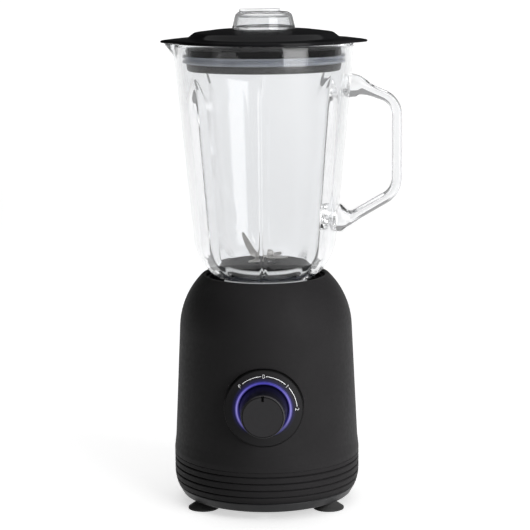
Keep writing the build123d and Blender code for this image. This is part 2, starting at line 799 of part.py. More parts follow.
def make_upper_bracket():
    """Upper motor bracket with a bearing hub and bolt posts."""
    hub_low_face = bracket_top - bearing_room
    body = pillar(0, 0, BRACKET_RADIUS, bracket_low, bracket_top)
    body += pillar(0, 0, hub_outer, hub_low_face, bracket_top)
    for side in (-1, 1):
        body += pillar(0, side * BOLT_CIRCLE_RADIUS, BOLT_POST_RADIUS, stator_top, bracket_low)
    for side in (-1, 1):
        hole = BOLT_RADIUS + SCREW_CLEARANCE
        body -= pillar(0, side * BOLT_CIRCLE_RADIUS, hole, stator_top, bracket_top)
    body -= pillar(0, 0, BEARING_RADIUS, hub_low_face + BEARING_LIP, bracket_top)
    body -= pillar(0, 0, BEARING_RADIUS - BEARING_LIP, hub_low_face, bracket_top)
    for angle in turns(4, 45):
        x, y = polar(MOTOR_MOUNT_RADIUS, angle)
        body -= pillar(x, y, SCREW_RADIUS + SCREW_CLEARANCE, bracket_low, bracket_top)
    return body


def make_lower_bracket():
    """Lower motor bracket with a bearing hub and bolt posts."""
    hub_low_face = low_bracket_top - bearing_room
    body = pillar(0, 0, BRACKET_RADIUS, low_bracket_low, low_bracket_top)
    body += pillar(0, 0, hub_outer, hub_low_face, low_bracket_top)
    for side in (-1, 1):
        y = side * BOLT_CIRCLE_RADIUS
        body += pillar(0, y, BOLT_POST_RADIUS, low_bracket_top, stator_low)
        body -= pillar(0, y, BOLT_RADIUS + SCREW_CLEARANCE, low_bracket_low, stator_low)
    body -= pillar(0, 0, BEARING_RADIUS, hub_low_face + BEARING_LIP, low_bracket_top)
    body -= pillar(0, 0, BEARING_RADIUS - BEARING_LIP, hub_low_face, low_bracket_top)
    return body


def make_bearing(top):
    """Bearing that stands on the lip of its hub."""
    low = top - bearing_room + BEARING_LIP
    return ring(BEARING_RADIUS - PRESS_CLEARANCE, SHAFT_RADIUS + RUNNING_CLEARANCE, low, low + BEARING_HEIGHT)


def sector(outer, inner, half_angle, middle, low, high):
    """Part of an upright tube either side of a middle angle."""
    points = [(0, 0)]
    for step in (-1.0, -0.5, 0.0, 0.5, 1.0):
        points.append(polar(outer * 2, middle + step * half_angle))
    wedge = Pos(0, 0, low) * extrude(make_face(Polyline(*points, close=True)), high - low)
    return ring(outer, inner, low, high) & wedge


def make_stator():
    """Laminated stator: a yoke ring and two pole pieces, with bolt holes."""
    yoke_inner = STATOR_RADIUS - STATOR_YOKE
    bore = ROTOR_RADIUS + AIR_GAP
    body = ring(STATOR_RADIUS, yoke_inner, stator_low, stator_top)
    for middle in (90, 270):
        body += sector(yoke_inner + STATOR_YOKE / 2, bore, POLE_HALF_ANGLE, middle, stator_low, stator_top)
    for side in (-1, 1):
        hole = BOLT_RADIUS + SCREW_CLEARANCE
        body -= pillar(0, side * BOLT_CIRCLE_RADIUS, hole, stator_low, stator_top)
    return body


def make_field_coils():
    """Two saddle coils, one round each stator pole."""
    inner = ROTOR_RADIUS + AIR_GAP + COIL_GAP
    outer = STATOR_RADIUS - STATOR_YOKE - COIL_GAP
    slot_half = 90 - POLE_HALF_ANGLE - math.degrees(COIL_GAP / inner)
    low = stator_low - COIL_GAP - COIL_OVERHANG
    high = stator_top + COIL_GAP + COIL_OVERHANG
    body = ring(outer, inner, stator_top + COIL_GAP, high)
    body += ring(outer, inner, low, stator_low - COIL_GAP)
    for middle in (0, 180):
        body += sector(outer, inner, slot_half, middle, low, high)
    return body - block(-outer, outer, -COIL_GAP, COIL_GAP, low, high)


def make_brush_holders():
    """Two brush tubes standing on the lower bracket."""
    middle = (commutator_low + commutator_top) / 2
    inner = COMMUTATOR_RADIUS + HOLDER_INSET
    outer = COMMUTATOR_RADIUS + BRUSH_GAP + BRUSH_LENGTH + HOLDER_WALL
    half_w = BRUSH_WIDTH / 2 + HOLDER_CLEARANCE
    half_h = BRUSH_HEIGHT / 2 + HOLDER_CLEARANCE
    group = Part()
    for turn in (0, 180):
        body = block(
            inner,
            outer,
            -half_w - HOLDER_WALL,
            half_w + HOLDER_WALL,
            low_bracket_top,
            middle + half_h + HOLDER_WALL,
        )
        body -= block(inner, outer - HOLDER_WALL, -half_w, half_w, middle - half_h, middle + half_h)
        group += Rot(0, 0, turn) * body
    return group


def make_brushes():
    """Two carbon brushes facing the commutator."""
    middle = (commutator_low + commutator_top) / 2
    start = COMMUTATOR_RADIUS + BRUSH_GAP
    group = Part()
    for turn in (0, 180):
        group += Rot(0, 0, turn) * block(
            start,
            start + BRUSH_LENGTH,
            -BRUSH_WIDTH / 2,
            BRUSH_WIDTH / 2,
            middle - BRUSH_HEIGHT / 2,
            middle + BRUSH_HEIGHT / 2,
        )
    return group


def make_grommets():
    """Four rubber rings between the seat bosses and the upper bracket."""
    group = Part()
    for angle in turns(4, 45):
        x, y = polar(MOTOR_MOUNT_RADIUS, angle)
        body = pillar(x, y, GROMMET_RADIUS, bracket_top, boss_low)
        group += body - pillar(x, y, SCREW_RADIUS + SCREW_CLEARANCE, bracket_top, boss_low)
    return group


def make_bolts():
    """Two long bolts that clamp both brackets to the stator."""
    group = Part()
    for side in (-1, 1):
        y = side * BOLT_CIRCLE_RADIUS
        group += pillar(0, y, BOLT_RADIUS, low_bracket_low - BOLT_HEAD_HEIGHT, bracket_top)
        group += pillar(0, y, BOLT_HEAD_RADIUS, bracket_top, bracket_top + BOLT_HEAD_HEIGHT)
        group += pillar(0, y, BOLT_HEAD_RADIUS, low_bracket_low - BOLT_HEAD_HEIGHT, low_bracket_low)
    return group


# Heights of the couplings
coupler_low = seat_height - COUPLER_SINK
coupler_teeth_low = coupler_low + COUPLER_SKIRT
coupler_top = coupler_teeth_low + COUPLER_HEIGHT
cup_low = coupler_teeth_low + COUPLER_END_GAP
cup_ceiling = coupler_top + COUPLER_END_GAP
cup_top = cup_ceiling + CUP_TOP


def make_motor_shaft():
    """Motor shaft from under the fan up into the drive coupling."""
    return pillar(0, 0, SHAFT_RADIUS, fan_low - SHAFT_TAIL, coupler_top - COUPLER_END_GAP)


def make_rotor_core():
    """Laminated rotor core on the shaft."""
    return ring(ROTOR_RADIUS, SHAFT_RADIUS + PRESS_CLEARANCE, stator_low, stator_top)


def make_rotor_windings():
    """End turns of the rotor winding above and below the core."""
    inner = SHAFT_RADIUS + PRESS_CLEARANCE
    upper = ring(WINDING_RADIUS, inner, stator_top, stator_top + WINDING_HEIGHT)
    lower = ring(WINDING_RADIUS, inner, stator_low - WINDING_HEIGHT, stator_low)
    return upper + lower


def make_commutator():
    """Commutator drum below the rotor winding."""
    return ring(COMMUTATOR_RADIUS, SHAFT_RADIUS + PRESS_CLEARANCE, commutator_low, commutator_top)


def make_fan():
    """Cooling fan: a plate with radial blades."""
    body = pillar(0, 0, FAN_RADIUS, fan_top - FAN_PLATE, fan_top)
    body += pillar(0, 0, FAN_HUB_RADIUS, fan_low, fan_top)
    blade = block(
        FAN_HUB_RADIUS - FAN_BLADE_THICKNESS,
        FAN_RADIUS - FAN_BLADE_THICKNESS,
        -FAN_BLADE_THICKNESS / 2,
        FAN_BLADE_THICKNESS / 2,
        fan_low,
        fan_top,
    )
    for angle in turns(FAN_BLADE_COUNT):
        body += Rot(0, 0, angle) * blade
    return body - pillar(0, 0, SHAFT_RADIUS + PRESS_CLEARANCE, fan_low, fan_top)


def make_drive_coupling():
    """Toothed drive coupling on top of the motor shaft."""
    body = pillar(0, 0, COUPLER_SKIRT_RADIUS, coupler_low, coupler_teeth_low)
    body += pillar(0, 0, COUPLER_CORE_RADIUS, coupler_teeth_low, coupler_top)
    tooth = block(
        0,
        COUPLER_TOOTH_RADIUS,
        -COUPLER_TOOTH_WIDTH / 2,
        COUPLER_TOOTH_WIDTH / 2,
        coupler_teeth_low,
        coupler_top,
    )
    for angle in turns(COUPLER_TOOTH_COUNT):
        body += Rot(0, 0, angle) * tooth
    bore_top = coupler_top - COUPLER_END_GAP
    return body - pillar(0, 0, SHAFT_RADIUS + PRESS_CLEARANCE, coupler_low, bore_top)


def make_jug_coupling():
    """Cup on the blade shaft with ribs that stand between the drive teeth."""
    cavity = COUPLER_TOOTH_RADIUS + COUPLER_CLEARANCE
    outer = cavity + CUP_WALL
    body = pillar(0, 0, outer, cup_low, cup_top) - pillar(0, 0, cavity, cup_low, cup_ceiling)
    rib_inner = COUPLER_CORE_RADIUS + COUPLER_CLEARANCE
    pitch_chord = 2 * rib_inner * math.sin(math.pi / COUPLER_TOOTH_COUNT)
    rib_width = pitch_chord - COUPLER_TOOTH_WIDTH - 2 * COUPLER_CLEARANCE
    rib = block(rib_inner, cavity + CUP_WALL / 2, -rib_width / 2, rib_width / 2, cup_low, cup_ceiling)
    for angle in turns(COUPLER_TOOTH_COUNT, 180.0 / COUPLER_TOOTH_COUNT):
        body += Rot(0, 0, angle) * rib
    return body - pillar(0, 0, SHAFT_RADIUS + PRESS_CLEARANCE, cup_low, cup_top)


def make_collar():
    """Threaded collar that holds the blade carrier to the jug neck."""
    body = turned(
        (COLLAR_HOLE_RADIUS, seat_height),
        (collar_outer, seat_height, 1.2),
        (collar_outer, seat_height + COLLAR_HEIGHT, 1.0),
        (collar_inner, seat_height + COLLAR_HEIGHT),
        (collar_inner, collar_floor_top),
        (COLLAR_HOLE_RADIUS, collar_floor_top),
    )
    notch_inner = seat_inner - LUG_REACH - LUG_CLEARANCE
    notch_half = LUG_WIDTH / 2 + LUG_CLEARANCE
    notch_top = seat_height + LUG_HEIGHT + LUG_CLEARANCE
    notch = block(notch_inner, collar_outer + 1, -notch_half, notch_half, seat_height, notch_top)
    for angle in turns(LUG_COUNT, 45):
        body -= Rot(0, 0, angle) * notch
    return body


def make_carrier():
    """Blade carrier: a flange under the gasket and a raised cup with a bush hub."""
    flange_radius = collar_inner - NECK_GAP
    cup_radius = neck_inner - CARRIER_GAP
    inner = cup_radius - CARRIER_WALL
    body = turned(
        (inner, collar_floor_top),
        (flange_radius, collar_floor_top),
        (flange_radius, carrier_flange_top),
        (cup_radius, carrier_flange_top),
        (cup_radius, carrier_top, 2.0),
        (CARRIER_HUB_RADIUS, carrier_top, 0.3),
        (CARRIER_HUB_RADIUS - 1, hub_top, 0.3),
        (BUSH_RADIUS, hub_top),
        (BUSH_RADIUS, hub_low),
        (CARRIER_HUB_RADIUS, hub_low),
        (CARRIER_HUB_RADIUS, carrier_top - CARRIER_TOP),
        (inner, carrier_top - CARRIER_TOP),
    )
    return body


def make_gasket():
    """Flat sealing ring between the carrier flange and the glass neck."""
    return ring(neck_outer, neck_inner - CARRIER_GAP + PRESS_CLEARANCE, carrier_flange_top, neck_low)


seal_low = hub_top - SHAFT_SEAL_HEIGHT
washer_low = hub_top + BLADE_GAP
low_blade_low = washer_low + WASHER_HEIGHT
high_blade_low = low_blade_low + BLADE_THICKNESS
nut_low = high_blade_low + BLADE_THICKNESS


def wing(length, angle, turn, low):
    """Blade wing: a flat root and a tapered tip bent upwards by an angle."""
    root = block(
        0,
        BLADE_HUB_RADIUS,
        -BLADE_ROOT_WIDTH / 2,
        BLADE_ROOT_WIDTH / 2,
        0,
        BLADE_THICKNESS,
    )
    tip_outline = Polyline(
        (0, -BLADE_ROOT_WIDTH / 2),
        (length, -BLADE_ROOT_WIDTH / 2 + BLADE_TIP_WIDTH / 4),
        (length - BLADE_TIP_WIDTH, BLADE_ROOT_WIDTH / 2),
        (0, BLADE_ROOT_WIDTH / 2),
        close=True,
    )
    tip = extrude(make_face(tip_outline), BLADE_THICKNESS)
    bend = Pos(BLADE_HUB_RADIUS, 0, BLADE_THICKNESS) * Rot(90, 0, 0) * Cylinder(BLADE_THICKNESS, BLADE_ROOT_WIDTH)
    bend = bend & block(0, length, -BLADE_ROOT_WIDTH, BLADE_ROOT_WIDTH, 0, BLADE_THICKNESS)
    bent = Pos(BLADE_HUB_RADIUS, 0, BLADE_THICKNESS) * Rot(0, -angle, 0) * Pos(0, 0, -BLADE_THICKNESS) * tip
    return Pos(0, 0, low) * Rot(0, 0, turn) * (root + bend + bent)


def make_blade(first, second, turn, low):
    """Two wings on one flat hub; each wing is a (length, angle) pair."""
    body = pillar(0, 0, BLADE_HUB_RADIUS, low, low + BLADE_THICKNESS)
    body += wing(first[0], first[1], turn, low)
    body += wing(second[0], second[1], turn + 180, low)
    return body - pillar(0, 0, SHAFT_RADIUS + PRESS_CLEARANCE, low, low + BLADE_THICKNESS)


def make_blade_nut():
    """Domed hexagon nut on the blade shaft."""
    hexagon = Pos(0, 0, nut_low) * extrude(RegularPolygon(NUT_RADIUS, 6), NUT_HEIGHT)
    dome = turned(
        (0, nut_low),
        (NUT_RADIUS, nut_low),
        (NUT_RADIUS, nut_low + NUT_HEIGHT, NUT_HEIGHT * 0.6),
        (0, nut_low + NUT_HEIGHT),
    )
    bore_top = nut_low + NUT_HEIGHT - NUT_CAP
    return (hexagon & dome) - pillar(0, 0, SHAFT_RADIUS + PRESS_CLEARANCE, nut_low, bore_top)


def make_blade_shaft():
    """Blade shaft from the jug coupling up into the nut."""
    return pillar(0, 0, SHAFT_RADIUS, cup_ceiling, nut_low + NUT_HEIGHT - NUT_CAP)


def jug_lean():
    """Lean of the jug wall from upright, in radians."""
    return math.atan2(JUG_MOUTH_RADIUS - JUG_FOOT_RADIUS, mouth_low - jug_foot)


def jug_radius(height):
    """Outer radius of the jug wall above its corner."""
    below = max(0.0, mouth_low - height)
    return JUG_MOUTH_RADIUS - below * math.tan(jug_lean())


def jug_corner():
    """Centre radius and centre height of the bottom corner arc."""
    lean = jug_lean()
    return (
        JUG_FOOT_RADIUS - JUG_CORNER_RADIUS * math.cos(lean),
        jug_foot + JUG_CORNER_RADIUS * math.sin(lean),
    )


def jug_outside():
    """Full solid inside the outer surface of the glass, without flutes."""
    centre_r, centre_z = jug_corner()
    start = -math.degrees(jug_lean())
    end = -math.degrees(math.acos((neck_outer - centre_r) / JUG_CORNER_RADIUS))
    neck_high = centre_z + JUG_CORNER_RADIUS * math.sin(math.radians(end))
    wall = FilletPolyline(
        (0, jug_rim),
        (JUG_MOUTH_RADIUS, jug_rim),
        (JUG_MOUTH_RADIUS, mouth_low),
        (JUG_FOOT_RADIUS, jug_foot),
        radius=[GLASS_RIM_ROUNDING, JUG_MOUTH_ROUNDING],
    )
    corner = CenterArc((centre_r, centre_z), JUG_CORNER_RADIUS, start, end - start)
    neck = Polyline((neck_outer, neck_high), (neck_outer, neck_low), (0, neck_low), (0, jug_rim))
    return revolve(Plane.XZ * make_face([wall, corner, neck]), Axis.Z)


def jug_inside():
    """Room inside the glass, without ribs, open at the mouth and the neck."""
    inner_mouth = JUG_MOUTH_RADIUS - GLASS_WALL
    return turned(
        (0, neck_low - 1),
        (neck_inner, neck_low - 1),
        (neck_inner, glass_floor, 2.0),
        (jug_radius(glass_floor) - GLASS_WALL, glass_floor, GLASS_INSIDE_ROUNDING),
        (inner_mouth, mouth_low, JUG_MOUTH_ROUNDING),
        (inner_mouth, jug_rim + 1),
        (0, jug_rim + 1),
    )


def flute_path(offset, top_drop):
    """Path beside the jug wall: a run-out at the top, the wall and the bottom corner."""
    lean = jug_lean()
    centre_r, centre_z = jug_corner()
    corner_arc = JUG_CORNER_RADIUS + offset
    start = math.degrees(-lean)
    corner = CenterArc((centre_r, centre_z), corner_arc, start, -FLUTE_CORNER_TURN)
    foot = (centre_r + corner_arc * math.cos(lean), centre_z - corner_arc * math.sin(lean))
    length = (jug_rim - top_drop - foot[1]) / math.cos(lean)
    top = (foot[0] + length * math.sin(lean), foot[1] + length * math.cos(lean))
    wall = Line(foot, top)
    run_centre = (top[0] + FLUTE_RUN_OUT_RADIUS * math.cos(lean), top[1] - FLUTE_RUN_OUT_RADIUS * math.sin(lean))
    run_out = CenterArc(run_centre, FLUTE_RUN_OUT_RADIUS, 180 - math.degrees(lean), -FLUTE_RUN_OUT_TURN)
    return Plane.XZ * Wire(list(corner.edges()) + list(wall.edges()) + list(run_out.edges()))


def flute_rod(radius, offset, top_drop):
    """Round rod along the flute path, in the plane of the handle."""
    path = flute_path(offset, top_drop)
    plane = Plane(origin=path @ 0, z_dir=path % 0)
    return sweep(plane * Circle(radius), path=path)


def flute_angles():
    """Directions of the four side flutes from the handle plane."""
    return (-90 - FLUTE_ANGLE, -90 + FLUTE_ANGLE, 90 - FLUTE_ANGLE, 90 + FLUTE_ANGLE)


def spout_shape(radius, root_radius, reach, low, high):
    """Slanted round shape of the pouring lip at the -X side."""
    top_x = -(JUG_MOUTH_RADIUS + reach - radius)
    root_x = -(JUG_MOUTH_RADIUS - GLASS_WALL / 2 - root_radius)
    lower = Plane.XY.offset(low) * Pos(root_x, 0) * Circle(root_radius)
    upper = Plane.XY.offset(high) * Pos(top_x, 0) * Circle(radius)
    return loft([lower, upper])


def make_handle():
    """Loop handle swept along its centre line in the XZ plane."""
    top_corner = (HANDLE_REACH, jug_rim - HANDLE_TOP_DROP)
    low_corner = (HANDLE_REACH, top_corner[1] - HANDLE_GRIP_HEIGHT)
    inset = JUG_FOOT_RADIUS - GLASS_WALL
    top_root = (inset, top_corner[1] + (HANDLE_REACH - inset) * math.tan(math.radians(HANDLE_TOP_SLOPE)))
    low_root = (inset, low_corner[1] - (HANDLE_REACH - inset) * math.tan(math.radians(HANDLE_LOW_SLOPE)))
    line = FilletPolyline(
        top_root,
        top_corner,
        low_corner,
        low_root,
        radius=[HANDLE_TOP_BEND, HANDLE_LOW_BEND],
    )
    path = Plane.XZ * Wire(line.edges())
    plane = Plane(origin=path @ 0, x_dir=(0, 1, 0), z_dir=path % 0)
    section = plane * RectangleRounded(HANDLE_WIDTH, HANDLE_THICKNESS, HANDLE_ROUNDING)
    return sweep(section, path=path)


def make_jug():
    """Fluted glass jug with a spout, a loop handle and an open neck."""
    body = jug_outside()
    cavity = jug_inside()
    offset = FLUTE_RADIUS - FLUTE_DEPTH
    flute = flute_rod(FLUTE_RADIUS, offset, FLUTE_TOP_DROP)
    rib = flute_rod(FLUTE_RADIUS + GLASS_WALL, offset, FLUTE_TOP_DROP)
    for angle in flute_angles():
        body -= Rot(0, 0, angle) * flute
        cavity -= Rot(0, 0, angle) * rib
    front_offset = FRONT_FLUTE_RADIUS - FRONT_FLUTE_DEPTH
    front_flute = flute_rod(FRONT_FLUTE_RADIUS, front_offset, FRONT_FLUTE_TOP_DROP)
    for angle in (-90, 90):
        body -= Rot(0, 0, angle) * front_flute
    spout_low = jug_rim - SPOUT_HEIGHT
    body += spout_shape(SPOUT_RADIUS, SPOUT_ROOT_RADIUS, SPOUT_REACH, spout_low, jug_rim)
    body += make_handle()
    pour = spout_shape(
        SPOUT_RADIUS - SPOUT_WALL,
        SPOUT_ROOT_RADIUS - SPOUT_WALL,
        SPOUT_REACH - SPOUT_WALL,
        spout_low + SPOUT_WALL / 2,
        jug_rim + 0.01,
    )
    return body - cavity - pour


# Heights and radii of the lid
skirt_low = jug_rim - LID_SKIRT_DEPTH
seal_top = jug_rim - SEAL_DROP
seal_bottom = seal_top - SEAL_HEIGHT
lid_top = jug_rim + LID_TOP_RISE
mouth_inner = JUG_MOUTH_RADIUS - GLASS_WALL
seal_outer = jug_radius(seal_bottom) - GLASS_WALL - SEAL_GAP
skirt_outer = seal_outer - LID_SKIRT_GAP


def make_lid():
    """Domed lid with two finger tabs, a skirt with a seal groove and a filler hole."""
    brim = JUG_MOUTH_RADIUS + LID_BRIM_OVERHANG
    groove = skirt_outer - SEAL_GROOVE_DEPTH
    skirt_inner = groove - LID_SKIRT_WALL
    hole = CAP_HOLE_RADIUS
    body = turned(
        (skirt_outer, jug_rim),
        (brim, jug_rim, LID_BRIM_ROUNDING * 0.4),
        (brim, jug_rim + LID_BRIM_THICKNESS, LID_BRIM_ROUNDING),
        (LID_SHOULDER_RADIUS, jug_rim + LID_SHOULDER_RISE, 3.0),
        (LID_DOME_RADIUS, jug_rim + LID_DOME_RISE, 3.0),
        (LID_CROWN_RADIUS, jug_rim + LID_CROWN_RISE, 10.0),
        (hole, lid_top, 0.6),
        (hole, lid_top - CAP_HOLE_DEPTH),
        (hole + CAP_HOLE_WALL, lid_top - CAP_HOLE_DEPTH),
        (hole + CAP_HOLE_WALL, lid_top - LID_WALL),
        (LID_CROWN_RADIUS, jug_rim + LID_CROWN_RISE - LID_WALL),
        (skirt_inner, jug_rim + LID_SHOULDER_RISE),
        (skirt_inner, skirt_low),
        (skirt_outer - 1.2, skirt_low, 0.6),
        (skirt_outer, seal_bottom),
        (groove, seal_bottom),
        (groove, seal_top),
        (skirt_outer, seal_top),
    )
    half = LID_TAB_WIDTH / 2
    tip = LID_TAB_TIP_WIDTH / 2
    inner = skirt_outer - 1
    for side in (-1, 1):
        outline = FilletPolyline(
            (side * inner, -half),
            (side * LID_TAB_REACH, -tip),
            (side * LID_TAB_REACH, tip),
            (side * inner, half),
            radius=[0, 5, 5, 0],
            close=True,
        )
        tab = Pos(0, 0, jug_rim) * extrude(make_face(outline), LID_TAB_THICKNESS)
        body += tab - pillar(0, 0, skirt_outer - 0.5, jug_rim, jug_rim + LID_TAB_THICKNESS)
    return body


def make_lid_seal():
    """Soft sealing ring with two lips in the groove of the lid skirt."""
    groove = skirt_outer - SEAL_GROOVE_DEPTH + PRESS_CLEARANCE
    waist = skirt_outer + 0.4
    return turned(
        (groove, seal_bottom),
        (waist, seal_bottom),
        (seal_outer, seal_bottom + SEAL_LIP * 0.5, 0.3),
        (seal_outer, seal_bottom + SEAL_LIP, 0.3),
        (waist, seal_bottom + SEAL_LIP),
        (waist, seal_top - SEAL_LIP),
        (seal_outer, seal_top - SEAL_LIP * 0.5, 0.3),
        (seal_outer, seal_top, 0.3),
        (groove, seal_top),
    )


def make_cap():
    """Clear measuring cap: a cup turned upside down in the filler hole."""
    plug = CAP_HOLE_RADIUS - CAP_CLEARANCE
    top = lid_top + CAP_RISE
    plug_low = lid_top - CAP_DEPTH
    taper = (CAP_FLANGE_RADIUS - CAP_TOP_RADIUS) / CAP_RISE
    inner_low = CAP_FLANGE_RADIUS - CAP_WALL - taper * CAP_WALL
    inner_high = CAP_TOP_RADIUS - CAP_WALL + taper * CAP_WALL
    body = turned(
        (plug - CAP_WALL, plug_low),
        (plug, plug_low, 0.6),
        (plug, lid_top),
        (CAP_FLANGE_RADIUS, lid_top, 0.4),
        (CAP_TOP_RADIUS, top, CAP_EDGE_ROUNDING),
        (0, top),
        (0, top - CAP_WALL),
        (inner_high, top - CAP_WALL, CAP_EDGE_ROUNDING - CAP_WALL),
        (inner_low, lid_top + CAP_WALL, 0.8),
        (plug - CAP_WALL, lid_top, 0.8),
    )
    grip = extrude(SlotOverall(CAP_GRIP_LENGTH, CAP_GRIP_WIDTH), CAP_GRIP_HEIGHT + CAP_WALL / 2)
    place = Pos(-CAP_GRIP_OFFSET, 0, top - CAP_WALL / 2) * Rot(0, 0, CAP_GRIP_TURN)
    return body + place * grip


parts = {
    "housing": make_housing(),
    "base_ring": make_base_ring(),
    "bottom_cover": make_cover(),
    "foot_front_left": make_foot(-FOOT_X, -FOOT_Y),
    "foot_front_right": make_foot(FOOT_X, -FOOT_Y),
    "foot_rear_left": make_foot(-FOOT_X, FOOT_Y),
    "foot_rear_right": make_foot(FOOT_X, FOOT_Y),
    "cover_screws": screws(POST_CIRCLE_RADIUS, 0, cover_low, SCREW_LENGTH),
    "housing_screws": screws(boss_circle(), 45, flange_low, SCREW_LENGTH),
    "cord_gland": make_gland(),
    "jug_seat": make_seat(),
    "seat_screws": screws(
        seat_post_circle(), 45, rim_height - SEAT_FLANGE_DROP - SEAT_FLANGE, SCREW_LENGTH / 2
    ),
    "control_bezel": make_bezel(),
    "light_ring": make_light_ring(),
    "led_board": make_led_board(),
    "rotary_switch": make_switch(),
    "switch_nut": make_switch_nut(),
    "knob": make_knob(),
    "knob_spindle": make_spindle(),
    "upper_bracket": make_upper_bracket(),
    "lower_bracket": make_lower_bracket(),
    "upper_bearing": make_bearing(bracket_top),
    "lower_bearing": make_bearing(low_bracket_top),
    "stator_core": make_stator(),
    "field_coils": make_field_coils(),
    "brush_holders": make_brush_holders(),
    "carbon_brushes": make_brushes(),
    "motor_grommets": make_grommets(),
    "motor_screws": screws(MOTOR_MOUNT_RADIUS, 45, bracket_low, SCREW_LENGTH),
    "bracket_bolts": make_bolts(),
    "motor_shaft": make_motor_shaft(),
    "rotor_core": make_rotor_core(),
    "rotor_windings": make_rotor_windings(),
    "commutator": make_commutator(),
    "cooling_fan": make_fan(),
    "drive_coupling": make_drive_coupling(),
    "glass_jug": make_jug(),
    "jug_collar": make_collar(),
    "jug_gasket": make_gasket(),
    "blade_carrier": make_carrier(),
    "blade_bush": ring(BUSH_RADIUS - PRESS_CLEARANCE, SHAFT_RADIUS + RUNNING_CLEARANCE, hub_low, seal_low),
    "shaft_seal": ring(BUSH_RADIUS - PRESS_CLEARANCE, SHAFT_RADIUS + RUNNING_CLEARANCE, seal_low, hub_top),
    "blade_shaft": make_blade_shaft(),
    "shaft_clip": ring(
        CLIP_RADIUS, SHAFT_RADIUS + PRESS_CLEARANCE, hub_low - CLIP_GAP - CLIP_HEIGHT, hub_low - CLIP_GAP
    ),
    "blade_washer": ring(WASHER_RADIUS, SHAFT_RADIUS + PRESS_CLEARANCE, washer_low, low_blade_low),
    "lower_blade": make_blade(
        (LOW_WING_LENGTH, LOW_WING_ANGLE), (LOW_WING_LENGTH, LOW_WING_ANGLE), LOWER_BLADE_TURN, low_blade_low
    ),
    "upper_blade": make_blade(
        (STEEP_WING_LENGTH, STEEP_WING_ANGLE),
        (MILD_WING_LENGTH, MILD_WING_ANGLE),
        UPPER_BLADE_TURN,
        high_blade_low,
    ),
    "blade_nut": make_blade_nut(),
    "jug_coupling": make_jug_coupling(),
    "lid": make_lid(),
    "lid_seal": make_lid_seal(),
    "measuring_cap": make_cap(),
}

os.makedirs("parts", exist_ok=True)
for name, shape in parts.items():
    export_step(shape, f"parts/{name}.step")
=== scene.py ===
"""Countertop blender: glass jug, lid, blades, dial marks, finishes and studio round its CAD frame."""

import json
import math

import bmesh
import bpy
import numpy as np
from bpy.props import FloatProperty, FloatVectorProperty, PointerProperty
from mathutils import Matrix, Vector


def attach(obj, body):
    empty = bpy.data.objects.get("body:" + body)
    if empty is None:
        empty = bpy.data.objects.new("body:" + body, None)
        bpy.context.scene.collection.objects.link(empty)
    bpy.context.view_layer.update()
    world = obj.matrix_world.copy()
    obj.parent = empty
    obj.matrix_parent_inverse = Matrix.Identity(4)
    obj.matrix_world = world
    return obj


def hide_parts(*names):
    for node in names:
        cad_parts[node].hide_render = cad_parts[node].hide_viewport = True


bl_info = {
    "name": "Countertop Blender",
    "version": (1, 0, 0),
    "blender": (4, 5, 0),
    "location": "View3D > Sidebar > Countertop",
    "description": "Builds the glass jug, blades, dial and finishes of a countertop blender",
    "category": "Object",
}

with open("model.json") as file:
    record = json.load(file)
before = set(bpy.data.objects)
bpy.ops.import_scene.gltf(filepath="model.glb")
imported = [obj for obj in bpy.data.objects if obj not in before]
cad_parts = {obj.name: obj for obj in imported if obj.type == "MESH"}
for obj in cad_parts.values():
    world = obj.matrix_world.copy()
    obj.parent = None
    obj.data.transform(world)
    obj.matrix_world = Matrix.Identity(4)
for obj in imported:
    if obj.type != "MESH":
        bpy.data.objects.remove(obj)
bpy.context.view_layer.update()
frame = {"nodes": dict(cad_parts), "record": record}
MM = 0.001
FRONT = -math.pi / 2
BACK = math.pi / 2
SPOUT_SIDE = math.pi

# Heights, radii and depths of the CAD solids, in millimetres
JUG_RIM = 369.0
MOUTH_LOW = 354.0
JUG_FOOT = 213.0
NECK_LOW = 167.3
NECK_OUTER = 39.6
NECK_INNER = 33.6
CONTROL_HEIGHT = 91.6
BEZEL_HOLE = 22.4
BEZEL_RING_Y = -76.534
BEZEL_EDGE_Y = -73.334
BEZEL_RADIUS = 30.8
KNOB_FACE_Y = -100.834
KNOB_FACE_RADIUS = 16.6
LOWER_BLADE_HEIGHT = 195.7
UPPER_BLADE_HEIGHT = 197.3
BLADE_THICKNESS = 1.6
SKIRT_LOW = 348.0
SEAL_LOW = 353.5
SEAL_HIGH = 359.7
SKIRT_RADIUS = 60.95
TAB_ROOT = 61.5
BRIM_RADIUS = 72.2
FILLER_RADIUS = 21.6
LID_TOP = 379.4

# Flutes: how far below the rim their run-out starts, the heights between which they fade in at
# the foot, the share of a wide flute that the inner wall follows, the rounding of middle line
# and edges, and the angle from a flute past which a point counts as far off
FLUTE_DROP = 51.0
NARROW_DROP = 42.0
OUTER_FADE = (183.5, 187.5)
INNER_FADE = (189.0, 194.5)
INNER_SHARE = 0.25
WIDE_ROUNDING = (1.1, 0.12)
NARROW_ROUNDING = (0.4, 0.1)
GROOVE_REACH = 0.9
FAR_OFF = 99.0

# Spout: half its width, and its start and full reach measured from the rim
SPOUT_HALF = 15.0
SPOUT_LOW = -13.0
SPOUT_HIGH = 4.0

# Points along and round the glass
FINE_STEPS = 7200
JUG_COLUMNS = 420
CORNER_POINTS = 36
WALL_STEP = 2.6
NECK_STEP = 5.0
BAR_SIDES = 44
BAR_SQUARENESS = 0.55

# Dial: letter, clockwise degrees from the top and width share of each mark, and the arcs between
DIAL_MARKS = (("P", -45.0, 1.0), ("O", 0.0, 0.6), ("1", 45.0, 1.0), ("2", 90.0, 1.0))
DIAL_ARCS = ((-39.0, -4.5), (4.5, 41.0), (49.0, 85.5))
PRINT_LIFT = 0.05


def size(name, description, millimetres):
    """Length property whose default is given in millimetres."""
    return FloatProperty(
        name=name, description=description, default=millimetres * MM, unit="LENGTH", precision=4
    )


